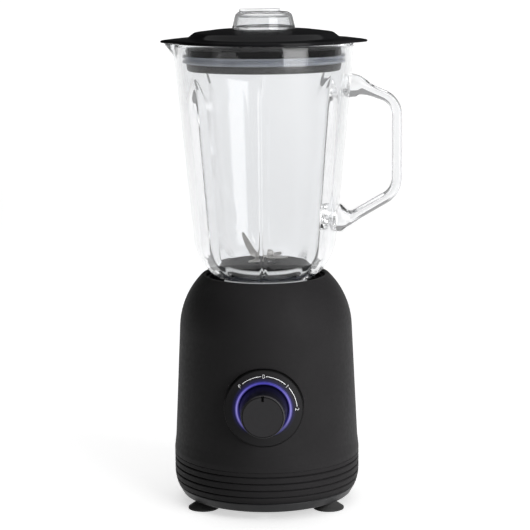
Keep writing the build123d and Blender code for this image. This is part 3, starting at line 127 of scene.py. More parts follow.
def tint(name, description, red, green, blue):
    """Colour property from three linear shares."""
    return FloatVectorProperty(
        name=name, description=description, default=(red, green, blue), subtype="COLOR", min=0.0, max=1.0
    )


def turn(name, description, degrees):
    """Angle property whose default is given in degrees."""
    return FloatProperty(name=name, description=description, default=math.radians(degrees), unit="ROTATION")


def power(name, description, watts):
    """Light power property."""
    return FloatProperty(name=name, description=description, default=watts, unit="POWER", min=0.0)


def brightness(name, description, level):
    """Brightness property of an even glow."""
    return FloatProperty(name=name, description=description, default=level, min=0.0)


class JugSizes(bpy.types.PropertyGroup):
    """Sizes of the glass jug."""

    mouth_radius: size("Mouth radius", "Outer radius of the glass at its rim", 70.6)
    foot_radius: size("Foot radius", "Outer radius where the wall meets the bottom corner", 57.0)
    corner_radius: size("Corner radius", "Rounding of the bottom corner", 40.0)
    mouth_rounding: size("Mouth rounding", "Rounding between the wall and the mouth band", 30.0)
    wall: size("Wall", "Thickness of the glass wall", 6.0)
    flute_half: size("Flute half width", "Half the width of the four wide flutes", 9.6)
    flute_depth: size("Flute depth", "Depth of the four wide flutes", 2.2)
    flute_run_out: size("Flute run-out", "Radius on which a flute leaves the wall at its top", 170.0)
    flute_turn: turn("Flute turn", "Angle from the front or back to a wide flute", 49.0)
    narrow_half: size("Narrow half width", "Half the width of the front and back flutes", 2.6)
    narrow_depth: size("Narrow depth", "Depth of the front and back flutes", 0.8)
    spout_reach: size("Spout reach", "How far the pouring lip stands out", 8.6)
    handle_reach: size("Handle reach", "Distance of the handle's grip from the drive axis", 104.6)
    handle_width: size("Handle width", "Handle size across the jug", 20.0)
    handle_thickness: size("Handle thickness", "Handle size along the jug's radius", 8.4)


class LidSizes(bpy.types.PropertyGroup):
    """Sizes of the lid's finger tabs."""

    tab_reach: size("Tab reach", "How far a finger tab stands out of the brim", 9.2)
    tab_spread: turn("Tab spread", "Angle over which a finger tab falls away", 11.5)


class BladeSizes(bpy.types.PropertyGroup):
    """Sizes of the two blades."""

    hub_radius: size("Hub radius", "Radius of the flat middle of a blade", 8.6)
    root_width: size("Root width", "Width of a wing at its root", 12.0)
    steep_length: size("Steep wing", "Length of the steep wing", 23.0)
    mild_length: size("Mild wing", "Length of the mild wing", 12.0)
    low_length: size("Low wing", "Length of the two low wings", 15.0)
    steep_angle: turn("Steep angle", "Rise of the steep wing", 58.0)
    mild_angle: turn("Mild angle", "Rise of the mild wing", 5.0)
    low_angle: turn("Low angle", "Rise of the low wings", 4.0)


class DialSizes(bpy.types.PropertyGroup):
    """Sizes and colour of the marks on the control bezel."""

    mark_radius: size("Mark radius", "Radius of the ring of marks", 25.8)
    mark_height: size("Mark height", "Height of a letter or number", 3.3)
    arc_width: size("Arc width", "Width of the thin arcs between the marks", 0.4)
    print_color: tint("Print colour", "Pale print of the marks", 0.4, 0.4, 0.41)


class FinishColours(bpy.types.PropertyGroup):
    """Colours of the main finishes."""

    soft_black: tint("Soft black", "Soft-touch coat of the housing", 0.0062, 0.0059, 0.0062)
    satin_black: tint("Satin black", "Bezel and knob", 0.0075, 0.0073, 0.0077)
    gloss_black: tint("Gloss black", "Lid", 0.0035, 0.0035, 0.0038)
    light_core: tint("Light core", "Middle of the light ring", 0.30, 0.26, 0.68)
    light_edge: tint("Light edge", "Edges of the light ring", 0.014, 0.011, 0.12)
    glass: tint("Glass", "Tint of the jug glass", 0.872, 0.879, 0.888)


class StudioSettings(bpy.types.PropertyGroup):
    """Camera, lights and floor."""

    camera_distance: size("Camera distance", "Level distance from the drive axis", 1480.0)
    camera_height: size("Camera height", "Height of the lens above the floor", 447.0)
    camera_side: turn("Camera side", "Turn of the camera to the right of the front", 1.7)
    camera_pitch: turn("Camera pitch", "Downward tilt of the camera", 9.798)
    camera_roll: turn("Camera roll", "Turn of the picture about its middle", 0.45)
    lens: FloatProperty(
        name="Lens", description="Focal length for a 36 mm wide sensor", default=127.36, unit="CAMERA"
    )
    key: power("Key", "Tall soft light at the right", 20.0)
    wash: power("Wash", "Soft light from the right that isn't mirrored", 128.0)
    fill: power("Fill", "Tall soft light at the left", 0.8)
    ceiling: power("Ceiling", "Very large soft light overhead", 44.0)
    sky: brightness("Sky", "Strength of the even light all round", 0.05)
    sky_in_glass: brightness("Sky in glass", "Strength of the even light as seen through glass", 0.36)
    floor_color: tint("Floor", "Pale floor and backdrop", 0.86, 0.86, 0.86)
    floor_glow: brightness("Floor glow", "Light given off by the lit paper sheet", 0.57)


def quads(rows, columns, rows_closed, columns_closed):
    """Quads between neighbouring rows and columns of a grid; a closed way wraps to its start."""
    first = np.arange(rows if rows_closed else rows - 1)
    second = np.arange(columns if columns_closed else columns - 1)
    i, j = np.meshgrid(first, second, indexing="ij")
    i_next = (i + 1) % rows
    j_next = (j + 1) % columns
    corners = (i * columns + j, i_next * columns + j, i_next * columns + j_next, i * columns + j_next)
    return np.stack(corners, axis=-1).reshape(-1, 4)


def smooth_step(low, high, value):
    """Zero below low, one above high, and three t squared less two t cubed between them."""
    share = np.clip((value - low) / (high - low), 0.0, 1.0)
    return share * share * (3.0 - 2.0 * share)


def angle_from(angles, direction):
    """Signed angle from a direction, at most half a turn either way."""
    return np.angle(np.exp(1j * (angles - direction)))


def rounded_path(corners, step, closed=False):
    """Line through (u, v, rounding) corners with a tangent arc of that rounding at each corner.

    Each arc touches both legs at a length of rounding times the tangent of half the turn, and
    the whole line is cut into points no more than a step apart, finer on the arcs.
    """
    points = np.array([corner[:2] for corner in corners], float)
    rounding = [corner[2] if len(corner) > 2 else 0.0 for corner in corners]
    count = len(points)
    pieces = []
    for index in range(count):
        here = points[index]
        ends = not closed and index in (0, count - 1)
        if ends or rounding[index] <= 0.0:
            pieces.append(here[None, :])
            continue
        back = points[index - 1] - here
        ahead = points[(index + 1) % count] - here
        back = back / np.linalg.norm(back)
        ahead = ahead / np.linalg.norm(ahead)
        turned = math.pi - math.acos(float(np.clip(back @ ahead, -1.0, 1.0)))
        leg = rounding[index] * math.tan(turned / 2.0)
        inward = (back + ahead) / np.linalg.norm(back + ahead)
        centre = here + inward * math.hypot(rounding[index], leg)
        start = here + back * leg - centre
        finish = here + ahead * leg - centre
        parts = max(2, int(math.ceil(rounding[index] * turned / (step * 0.5))) + 1)
        share = np.linspace(0.0, 1.0, parts)[:, None]
        blend = np.sin((1.0 - share) * turned) * start + np.sin(share * turned) * finish
        pieces.append(centre + blend / math.sin(turned))
    if closed:
        pieces.append(pieces[0][:1])
    line = np.concatenate(pieces)
    return cut_line(line, step)[:-1] if closed else cut_line(line, step)


def cut_line(line, step):
    """Splits every leg of a line that is longer than a step into equal shares."""
    legs = np.linalg.norm(np.diff(line, axis=0), axis=1)
    counts = np.maximum(1, np.ceil(legs / step - 1e-6).astype(int))
    starts = np.repeat(np.arange(len(legs)), counts)
    offsets = np.arange(counts.sum()) - np.repeat(np.cumsum(counts) - counts, counts)
    share = (offsets / np.repeat(counts, counts))[:, None]
    cut = line[starts] * (1.0 - share) + line[starts + 1] * share
    return np.concatenate((cut, line[-1:]))


def line_normals(line):
    """Unit normals of an open line, pointing to its right hand side."""
    along = np.gradient(line, axis=0)
    along = along / np.linalg.norm(along, axis=1)[:, None]
    return np.stack((along[:, 1], -along[:, 0]), axis=1)


def make_mesh(name, points, faces, merge=0.0):
    """Mesh from points in millimetres and faces, with its faces turned outwards."""
    mesh = bpy.data.meshes.new(name)
    mesh.from_pydata((np.asarray(points, float) * MM).tolist(), [], [list(face) for face in faces])
    work = bmesh.new()
    work.from_mesh(mesh)
    if merge > 0.0:
        bmesh.ops.remove_doubles(work, verts=work.verts, dist=merge * MM)
    bmesh.ops.recalc_face_normals(work, faces=work.faces)
    work.to_mesh(mesh)
    work.free()
    mesh.validate()
    mesh.update()
    return mesh


def carried_round(name, radius, height, angles):
    """Closed mesh of a loop of radii and heights, carried round the drive axis in every direction."""
    points = np.stack((radius * np.cos(angles), radius * np.sin(angles), height), axis=-1)
    rows, columns = points.shape[:2]
    return make_mesh(name, points.reshape(-1, 3), quads(rows, columns, True, True))


def capped_tube(points):
    """Points and faces of a tube of rings, with a flat face at each end."""
    rings, sides = points.shape[:2]
    faces = quads(rings, sides, False, True).tolist()
    faces.append(list(range(sides)))
    faces.append(list(range((rings - 1) * sides, rings * sides))[::-1])
    return points.reshape(-1, 3), faces


def shade(mesh, sharp_degrees):
    """Smooth shading with edges kept sharp above an angle."""
    mesh.shade_smooth()
    mesh.set_sharp_from_angle(angle=math.radians(sharp_degrees))


def add_piece(name, mesh, body, slot, material, *nodes):
    """Object that rides on a body, takes a finish, and stands for CAD nodes; the slot is not used."""
    piece = bpy.data.objects.new(name, mesh)
    bpy.context.scene.collection.objects.link(piece)
    mesh.materials.clear()
    mesh.materials.append(material)
    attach(piece, body)
    if nodes:
        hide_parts(*nodes)
    return piece


def union(first, second):
    """Mesh of two closed meshes joined into one skin."""
    objects = [bpy.data.objects.new("union_part", mesh) for mesh in (first, second)]
    for item in objects:
        bpy.context.scene.collection.objects.link(item)
    joint = objects[0].modifiers.new("join", "BOOLEAN")
    joint.operation = "UNION"
    joint.solver = "EXACT"
    joint.object = objects[1]
    bpy.context.view_layer.update()
    ready = objects[0].evaluated_get(bpy.context.evaluated_depsgraph_get())
    joined = bpy.data.meshes.new_from_object(ready)
    for item in objects:
        bpy.data.objects.remove(item)
    bpy.data.meshes.remove(first)
    bpy.data.meshes.remove(second)
    if not joined.polygons:
        raise RuntimeError("the two shells could not be joined")
    return joined


def flute_directions(jug):
    """Directions of the four wide flutes: the flute turn either side of the front and the back."""
    return [middle + side * jug.flute_turn for middle in (FRONT, BACK) for side in (-1.0, 1.0)]


def jug_angles(jug):
    """Angles round the jug, drawn closer together over the flutes and the spout.

    The spacing is the inverse of a density: one everywhere, raised at each flute and at the
    spout by the exponential of minus the fourth power of the angle over its spread.
    """
    steps = np.linspace(0.0, 2.0 * math.pi, FINE_STEPS + 1)
    dense = [(direction, 10.0, 1.8) for direction in flute_directions(jug)]
    dense += [(FRONT, 3.4, 3.4), (BACK, 3.4, 3.4), (SPOUT_SIDE, 9.0, 0.6)]
    density = np.ones_like(steps)
    for direction, spread, gain in dense:
        density += gain * np.exp(-((angle_from(steps, direction) / math.radians(spread)) ** 4))
    total = np.concatenate(([0.0], np.cumsum((density[1:] + density[:-1]) / 2.0)))
    wanted = np.linspace(0.0, total[-1], JUG_COLUMNS + 1)[:-1]
    return np.interp(wanted, total, steps)


def sideways(radius, angles, direction):
    """Sideways distance of each point from a groove's middle line, and far off round the corner."""
    away = angle_from(angles, direction)
    return np.where(np.abs(away) < GROOVE_REACH, radius * np.sin(away), FAR_OFF)


def groove(lateral, depth, slope, round_bottom, round_edge):
    """Depth of a V-shaped groove below the wall at a sideways distance from its middle line.

    Each side falls evenly with the distance; the middle line is rounded by the root of
    distance squared plus a small length squared, and the edges are eased to zero in the same
    way over a share of the depth.
    """
    bite = depth - slope * (np.sqrt(lateral * lateral + round_bottom * round_bottom) - round_bottom)
    ease = round_edge * depth
    return 0.5 * (bite + np.sqrt(bite * bite + ease * ease))


def corner_arc(centre, radius, start, end):
    """Points of a round corner from one angle to another."""
    sweep = np.linspace(start, end, CORNER_POINTS)
    return centre + radius * np.stack((np.cos(sweep), np.sin(sweep)), axis=1)


def jug_sections(jug):
    """Outer section from the neck to the rim and inner section from the rim to the neck.

    The wall leans evenly from foot to mouth, and both sections turn in at the bottom about one
    centre, so the glass keeps its thickness there.
    """
    mouth = jug.mouth_radius / MM
    foot = jug.foot_radius / MM
    corner = jug.corner_radius / MM
    wall = jug.wall / MM
    bend = jug.mouth_rounding / MM
    lean = math.atan2(mouth - foot, MOUTH_LOW - JUG_FOOT)
    centre = np.array((foot - corner * math.cos(lean), JUG_FOOT + corner * math.sin(lean)))
    arc = corner_arc(centre, corner, -math.acos((NECK_OUTER - centre[0]) / corner), -lean)
    neck = cut_line(np.array(((NECK_OUTER, NECK_LOW), arc[0])), NECK_STEP)[:-1]
    upper = rounded_path(
        (
            (foot, JUG_FOOT),
            (mouth, MOUTH_LOW, bend),
            (mouth, JUG_RIM, 2.0),
            (mouth - wall / 2.0, JUG_RIM),
        ),
        WALL_STEP,
    )
    outer = np.concatenate((neck, arc, upper[1:]))
    inside = corner - wall
    arc = corner_arc(centre, inside, -lean, -math.acos((NECK_INNER - centre[0]) / inside))
    bend_height = arc[0, 1] + (mouth - wall - arc[0, 0]) / math.tan(lean)
    upper = rounded_path(
        (
            (mouth - wall / 2.0, JUG_RIM),
            (mouth - wall, JUG_RIM, 1.2),
            (mouth - wall, bend_height, bend),
            tuple(arc[0]),
        ),
        WALL_STEP,
    )
    neck = cut_line(np.array((arc[-1], (NECK_INNER, NECK_LOW))), NECK_STEP)[1:]
    return outer, np.concatenate((upper[1:-1], arc, neck))


def jug_shell(jug):
    """Closed glass shell as a loop of (radius, height) points carried round the drive axis.

    Each point moves against its section's normal by the depth of the grooves at its angle: the
    outer wall by whole flutes, the inner wall by whole narrow flutes and a share of the wide
    ones. A flute's depth falls with the square of the height above the start of its run-out.
    The rim bulges at the spout by a power of one less the squared sideways distance, times a
    smooth step in height.
    """
    angles = jug_angles(jug)
    depth = jug.flute_depth / MM
    slope = jug.flute_depth / jug.flute_half
    narrow_depth = jug.narrow_depth / MM
    narrow_slope = jug.narrow_depth / jug.narrow_half
    run_out = jug.flute_run_out / MM
    radii = []
    heights = []
    for section, fade, share in zip(jug_sections(jug), (OUTER_FADE, INNER_FADE), (1.0, INNER_SHARE)):
        radius = section[:, 0][:, None]
        height = section[:, 1][:, None]
        normal = line_normals(section)
        fall = np.maximum(height - JUG_RIM + FLUTE_DROP, 0.0) ** 2 / (2.0 * run_out)
        narrow_fall = np.maximum(height - JUG_RIM + NARROW_DROP, 0.0) ** 2 / (2.0 * run_out)
        low_fade = smooth_step(*fade, height)
        wide = np.maximum((depth - fall) * low_fade, 0.0) * share
        narrow = np.maximum((narrow_depth - narrow_fall) * low_fade, 0.0)
        move = np.zeros((len(section), len(angles)))
        for direction in flute_directions(jug):
            move += groove(sideways(radius, angles, direction), wide, slope * share, *WIDE_ROUNDING)
        for direction in (FRONT, BACK):
            move += groove(sideways(radius, angles, direction), narrow, narrow_slope, *NARROW_ROUNDING)
        aside = angle_from(angles, SPOUT_SIDE) * radius
        bell = np.maximum(1.0 - (aside / SPOUT_HALF) ** 2, 0.0) ** 1.5
        rise = smooth_step(JUG_RIM + SPOUT_LOW, JUG_RIM + SPOUT_HIGH, height)
        ramp = rise / smooth_step(SPOUT_LOW, SPOUT_HIGH, 0.0)
        radii.append(radius - normal[:, 0][:, None] * move + jug.spout_reach / MM * bell * ramp)
        heights.append(height - normal[:, 1][:, None] * move)
    return carried_round("glass_shell", np.concatenate(radii), np.concatenate(heights), angles)


def swept_bar(line, widths, thicknesses):
    """Bar with a rounded rectangle for a section, carried along a line of (x, z) points.

    The section is a superellipse, the signed power of cosine and sine, as wide as given across
    the plane of the line and as thick as given in it.
    """
    normal = line_normals(line)
    angle = np.linspace(0.0, 2.0 * math.pi, BAR_SIDES, endpoint=False)
    cosine = np.sign(np.cos(angle)) * np.abs(np.cos(angle)) ** BAR_SQUARENESS
    sine = np.sign(np.sin(angle)) * np.abs(np.sin(angle)) ** BAR_SQUARENESS
    half_thickness = thicknesses[:, None] / 2.0
    x = line[:, 0][:, None] + normal[:, 0][:, None] * half_thickness * sine
    z = line[:, 1][:, None] + normal[:, 1][:, None] * half_thickness * sine
    y = widths[:, None] / 2.0 * cosine
    return capped_tube(np.stack((x, y, z), axis=-1))


def jug_handle(jug):
    """Solid glass loop: a bar that leaves the wall level, slopes out, runs down and slopes back.

    At each root the bar swells by a share that falls off with the exponential of minus the
    squared distance from the wall.
    """
    reach = jug.handle_reach / MM
    grip_top = JUG_RIM - 46.3
    grip_low = grip_top - 71.8
    top_root = 75.0
    low_root = 68.0
    top_slope = math.radians(22.0)
    low_slope = math.radians(30.0)
    top_height = grip_top + (reach - top_root) * math.tan(top_slope)
    low_height = grip_low - (reach - low_root) * math.tan(low_slope)
    line = rounded_path(
        (
            (64.5, top_height),
            (top_root, top_height, 14.0),
            (reach, grip_top, 17.0),
            (reach, grip_low, 20.0),
            (low_root, low_height, 12.0),
            (55.0, low_height),
        ),
        1.3,
    )
    along = np.concatenate(([0.0], np.cumsum(np.linalg.norm(np.diff(line, axis=0), axis=1))))
    in_wall = 4.0
    from_top = np.maximum(along - in_wall, 0.0)
    from_low = np.maximum(along[-1] - along - in_wall, 0.0)
    swell = 1.2 * np.exp(-((from_top / 10.5) ** 2)) + 1.55 * np.exp(-((from_low / 6.5) ** 2))
    thicknesses = jug.handle_thickness / MM * (1.0 + swell)
    widths = jug.handle_width / MM * (1.0 + 0.2 * swell)
    return make_mesh("glass_handle", *swept_bar(line, widths, thicknesses))


class COUNTERTOP_OT_glass_jug(bpy.types.Operator):
    """Build the fluted glass jug with its spout and loop handle in one skin"""

    bl_idname = "countertop.glass_jug"
    bl_label = "Glass Jug"

    def execute(self, context):
        jug = context.scene.jug_sizes
        mesh = union(jug_shell(jug), jug_handle(jug))
        shade(mesh, 38.0)
        add_piece("glass_jug_body", mesh, "jug", "clear_glass", finish("clear_glass"), "glass_jug")
        return {"FINISHED"}


def lid_section():
    """Closed section of the lid: under and over the brim, the crown, the filler hole and the skirt."""
    groove_radius = SKIRT_RADIUS - 1.6
    inside = groove_radius - 2.8
    filler_outer = FILLER_RADIUS + 2.4
    filler_low = LID_TOP - 16.0
    return rounded_path(
        (
            (SKIRT_RADIUS, JUG_RIM),
            (BRIM_RADIUS, JUG_RIM, 0.5),
            (BRIM_RADIUS, JUG_RIM + 2.5, 1.0),
            (60.4, JUG_RIM + 3.4, 2.5),
            (54.7, JUG_RIM + 7.8, 4.0),
            (38.0, JUG_RIM + 9.9, 14.0),
            (FILLER_RADIUS, LID_TOP, 0.6),
            (FILLER_RADIUS, filler_low, 0.4),
            (filler_outer, filler_low, 0.4),
            (filler_outer, LID_TOP - 2.6),
            (38.0, JUG_RIM + 7.3),
            (inside, JUG_RIM + 3.6),
            (inside, SKIRT_LOW, 0.4),
            (SKIRT_RADIUS - 0.8, SKIRT_LOW, 0.6),
            (SKIRT_RADIUS, SEAL_LOW - 2.0, 0.6),
            (SKIRT_RADIUS, SEAL_LOW),
            (groove_radius, SEAL_LOW),
            (groove_radius, SEAL_HIGH),
            (SKIRT_RADIUS, SEAL_HIGH),
        ),
        1.8,
        closed=True,
    )


def lid_shell(lid):
    """Lid: a closed section carried round the drive axis and drawn out to two finger tabs.

    The brim's points move outwards by the tab's reach times a bell, the exponential of minus
    the squared angle from the tab over its spread squared, times a smooth step over the brim's
    width, and the brim thins by the same share towards the tips.
    """
    section = lid_section()
    angles = np.linspace(0.0, 2.0 * math.pi, 288, endpoint=False)
    fold = np.angle(np.exp(2j * angles)) / 2.0
    bell = np.exp(-((fold / lid.tab_spread) ** 2))[None, :]
    radius = section[:, 0][:, None]
    height = section[:, 1][:, None]
    share = smooth_step(TAB_ROOT, BRIM_RADIUS, radius) * (height > JUG_RIM - 0.01) * bell
    new_radius = radius + lid.tab_reach / MM * share
    tip_thinning = 0.28
    new_height = height - np.maximum(height - JUG_RIM, 0.0) * tip_thinning * share
    return carried_round("lid_shell", new_radius, new_height, angles)


class COUNTERTOP_OT_lid(bpy.types.Operator):
    """Build the domed lid with its skirt, seal groove and two finger tabs"""

    bl_idname = "countertop.lid"
    bl_label = "Lid"

    def execute(self, context):
        mesh = lid_shell(context.scene.lid_sizes)
        shade(mesh, 40.0)
        add_piece("lid_shell", mesh, "lid", "gloss_black", finish("gloss_black"), "lid")
        return {"FINISHED"}


def blade_strip(blades, low, heading, wings):
    """Blade from tip to tip: a ground section carried along a bent line over the hub.

    The line runs flat over the hub and rises at each wing's angle after a short round bend.
    The half width is the hub's circle, the straight root and then a leaf that closes to a
    rounded point, swept back with the square of the distance. Each section is a flat plate
    whose two sides are ground to an edge.
    """
    hub = blades.hub_radius / MM
    root = blades.root_width / MM / 2.0
    tip_half = 0.35
    tip_sweep = 1.6
    tip_thinning = 0.35
    share = np.linspace(0.0, 1.0, 40)
    sides = []
    for length, angle in wings:
        length = length / MM
        run = share * (hub + length)
        bend = smooth_step(-2.0, 5.0, run - hub) * angle
        step = np.diff(run, prepend=0.0)
        out = np.cumsum(step * np.cos(bend))
        rise = np.cumsum(step * np.sin(bend))
        leaf = np.clip(np.maximum(run - hub, 0.0) / length, 0.0, 1.0)
        flat = np.sqrt(np.maximum(hub * hub - run * run, 0.0))
        taper = root * np.sqrt(np.maximum(1.0 - leaf ** 3.0, 0.0)) * (1.0 - 0.2 * leaf)
        half = np.maximum(np.maximum(flat, taper), tip_half)
        sides.append((out, rise, half, leaf, bend))
    signs = (-1.0, 1.0, 1.0, 1.0, -1.0)
    out, rise, half, leaf, bend = (
        np.concatenate((sign * np.flip(first), second[1:])) for sign, first, second in zip(signs, *sides)
    )
    sweep_back = -tip_sweep * leaf ** 2 * np.sign(out)
    ground = 0.62
    section_across = np.array((-1.0, -ground, 0.0, ground, 1.0, ground, 0.0, -ground))
    section_up = np.array((0.0, 0.5, 0.5, 0.5, 0.0, -0.5, -0.5, -0.5))
    thickness = BLADE_THICKNESS * (1.0 - tip_thinning * leaf)
    across = half[:, None] * section_across[None, :] + sweep_back[:, None]
    up = thickness[:, None] * section_up[None, :]
    x = out[:, None] - up * np.sin(bend)[:, None]
    z = low + BLADE_THICKNESS / 2.0 + rise[:, None] + up * np.cos(bend)[:, None]
    x_turned = x * math.cos(heading) - across * math.sin(heading)
    y_turned = x * math.sin(heading) + across * math.cos(heading)
    return capped_tube(np.stack((x_turned, y_turned, z), axis=-1))


class COUNTERTOP_OT_blades(bpy.types.Operator):
    """Build the two bent blades with their ground edges"""

    bl_idname = "countertop.blades"
    bl_label = "Blades"

    def execute(self, context):
        blades = context.scene.blade_sizes
        low_wing = (blades.low_length, blades.low_angle)
        steep = (blades.steep_length, blades.steep_angle)
        mild = (blades.mild_length, blades.mild_angle)
        pairs = (
            ("lower_blade_wings", "lower_blade", LOWER_BLADE_HEIGHT, 64.0, (low_wing, low_wing)),
            ("upper_blade_wings", "upper_blade", UPPER_BLADE_HEIGHT, -26.0, (steep, mild)),
        )
        for name, node, low, degrees, wings in pairs:
            mesh = make_mesh(name, *blade_strip(blades, low, math.radians(degrees), wings))
            shade(mesh, 25.0)
            add_piece(name, mesh, "blades", "blade_steel", finish("blade_steel"), node)
        return {"FINISHED"}


def bezel_frame(angle, radius):
    """Point on the bezel cone at a clockwise angle from its top, with its three directions.

    The cone falls back evenly from the light ring to the bezel's edge. The directions are
    clockwise along the ring, outwards up the cone and straight out of it.
    """
    slope = math.atan2(BEZEL_EDGE_Y - BEZEL_RING_Y, BEZEL_RADIUS - BEZEL_HOLE)
    back = BEZEL_RING_Y + (radius - BEZEL_HOLE) * math.tan(slope)
    flat = np.broadcast_to(back, np.shape(angle))
    zero = np.zeros(np.shape(angle))
    sine = np.sin(angle)
    cosine = np.cos(angle)
    place = np.stack((radius * sine, flat, CONTROL_HEIGHT + radius * cosine), axis=-1)
    clockwise = np.stack((cosine, zero, -sine), axis=-1)
    lean = math.cos(slope)
    outward = np.stack((sine * lean, zero + math.sin(slope), cosine * lean), axis=-1)
    return place, clockwise, outward, np.cross(clockwise, outward)


def letter_shape(text, height):
    """Points and faces of a letter as a thin plate, in millimetres, with its middle at zero."""
    capital_share = 0.72
    curve = bpy.data.curves.new("dial_letter", "FONT")
    curve.body = text
    curve.size = height / capital_share
    curve.align_x = "CENTER"
    curve.align_y = "CENTER"
    curve.extrude = PRINT_LIFT
    curve.offset = -0.07
    curve.resolution_u = 8
    holder = bpy.data.objects.new("dial_letter", curve)
    bpy.context.scene.collection.objects.link(holder)
    bpy.context.view_layer.update()
    ready = holder.evaluated_get(bpy.context.evaluated_depsgraph_get())
    mesh = bpy.data.meshes.new_from_object(ready)
    points = np.empty(len(mesh.vertices) * 3)
    mesh.vertices.foreach_get("co", points)
    points = points.reshape(-1, 3)
    faces = [list(face.vertices) for face in mesh.polygons]
    middle = (points.min(axis=0) + points.max(axis=0)) / 2.0
    bpy.data.objects.remove(holder)
    bpy.data.curves.remove(curve)
    bpy.data.meshes.remove(mesh)
    return points - middle, faces


def arc_shape(start, end, radius, width):
    """Thin raised line on the bezel: a small rectangle carried along part of a circle on the cone."""
    angle = np.radians(np.array((start, end)))
    place, _, outward, out = bezel_frame(np.linspace(*angle, 40), radius)
    side = np.array((-0.5, 0.5, 0.5, -0.5)) * width
    up = np.array((-1.0, -1.0, 1.0, 1.0)) * PRINT_LIFT
    flat = place[:, None, :] + outward[:, None, :] * side[None, :, None]
    return capped_tube(flat + out[:, None, :] * up[None, :, None])


def notch_shape():
    """Dead black box of painted shade in the knob's index notch: a thin box just under the knob's face."""
    top = CONTROL_HEIGHT + KNOB_FACE_RADIUS
    across = (-1.1, 1.1)
    depth = (KNOB_FACE_Y + 0.45, KNOB_FACE_Y + 0.88)
    height = (top - 4.5, top - 0.5)
    points = np.stack(np.meshgrid(across, depth, height, indexing="ij"), axis=-1).reshape(-1, 3)
    faces = [[0, 1, 3, 2], [4, 6, 7, 5], [0, 4, 5, 1], [2, 3, 7, 6], [0, 2, 6, 4], [1, 5, 7, 3]]
    return points, faces


class COUNTERTOP_OT_dial_marks(bpy.types.Operator):
    """Print the pulse, off and speed marks and arcs on the bezel and put painted shade in the knob's notch
    """

    bl_idname = "countertop.dial_marks"
    bl_label = "Dial Marks"

    def execute(self, context):
        dial = context.scene.dial_sizes
        radius = dial.mark_radius / MM
        shapes = []
        for text, degrees, narrow in DIAL_MARKS:
            points, faces = letter_shape(text, dial.mark_height / MM)
            points = points * (narrow, 1.0, 1.0)
            place, clockwise, outward, out = bezel_frame(np.array(math.radians(degrees)), radius)
            placed = place + points[:, :1] * clockwise + points[:, 1:2] * outward + points[:, 2:] * out
            shapes.append((placed, faces))
        shapes += [arc_shape(start, end, radius, dial.arc_width / MM) for start, end in DIAL_ARCS]
        all_points = np.concatenate([points for points, _ in shapes])
        all_faces = []
        start = 0
        for points, faces in shapes:
            all_faces += [[start + corner for corner in face] for face in faces]
            start += len(points)
        mesh = make_mesh("dial_marks", all_points, all_faces, merge=0.0005)
        add_piece("dial_marks", mesh, "base", "satin_black", finish("dial_print"))
        notch = make_mesh("knob_notch", *notch_shape())
        add_piece("knob_notch", notch, "knob", "satin_black", finish("notch_shade_black"))
        return {"FINISHED"}


FINISHES = {}
OWN_FINISH = {
    "knob": "knob_black",
    "control_bezel": "bezel_black",
    "blade_carrier": "carrier_black",
    "base_ring": "ring_black_shaded_low",
}
BLACK = (0.0, 0.0, 0.0)
WHITE = (1.0, 1.0, 1.0, 1.0)


def finish(name):
    """Finish by name; raises where it hasn't been mixed yet."""
    if name not in FINISHES:
        raise RuntimeError("no finish named " + name)
    return FINISHES[name]


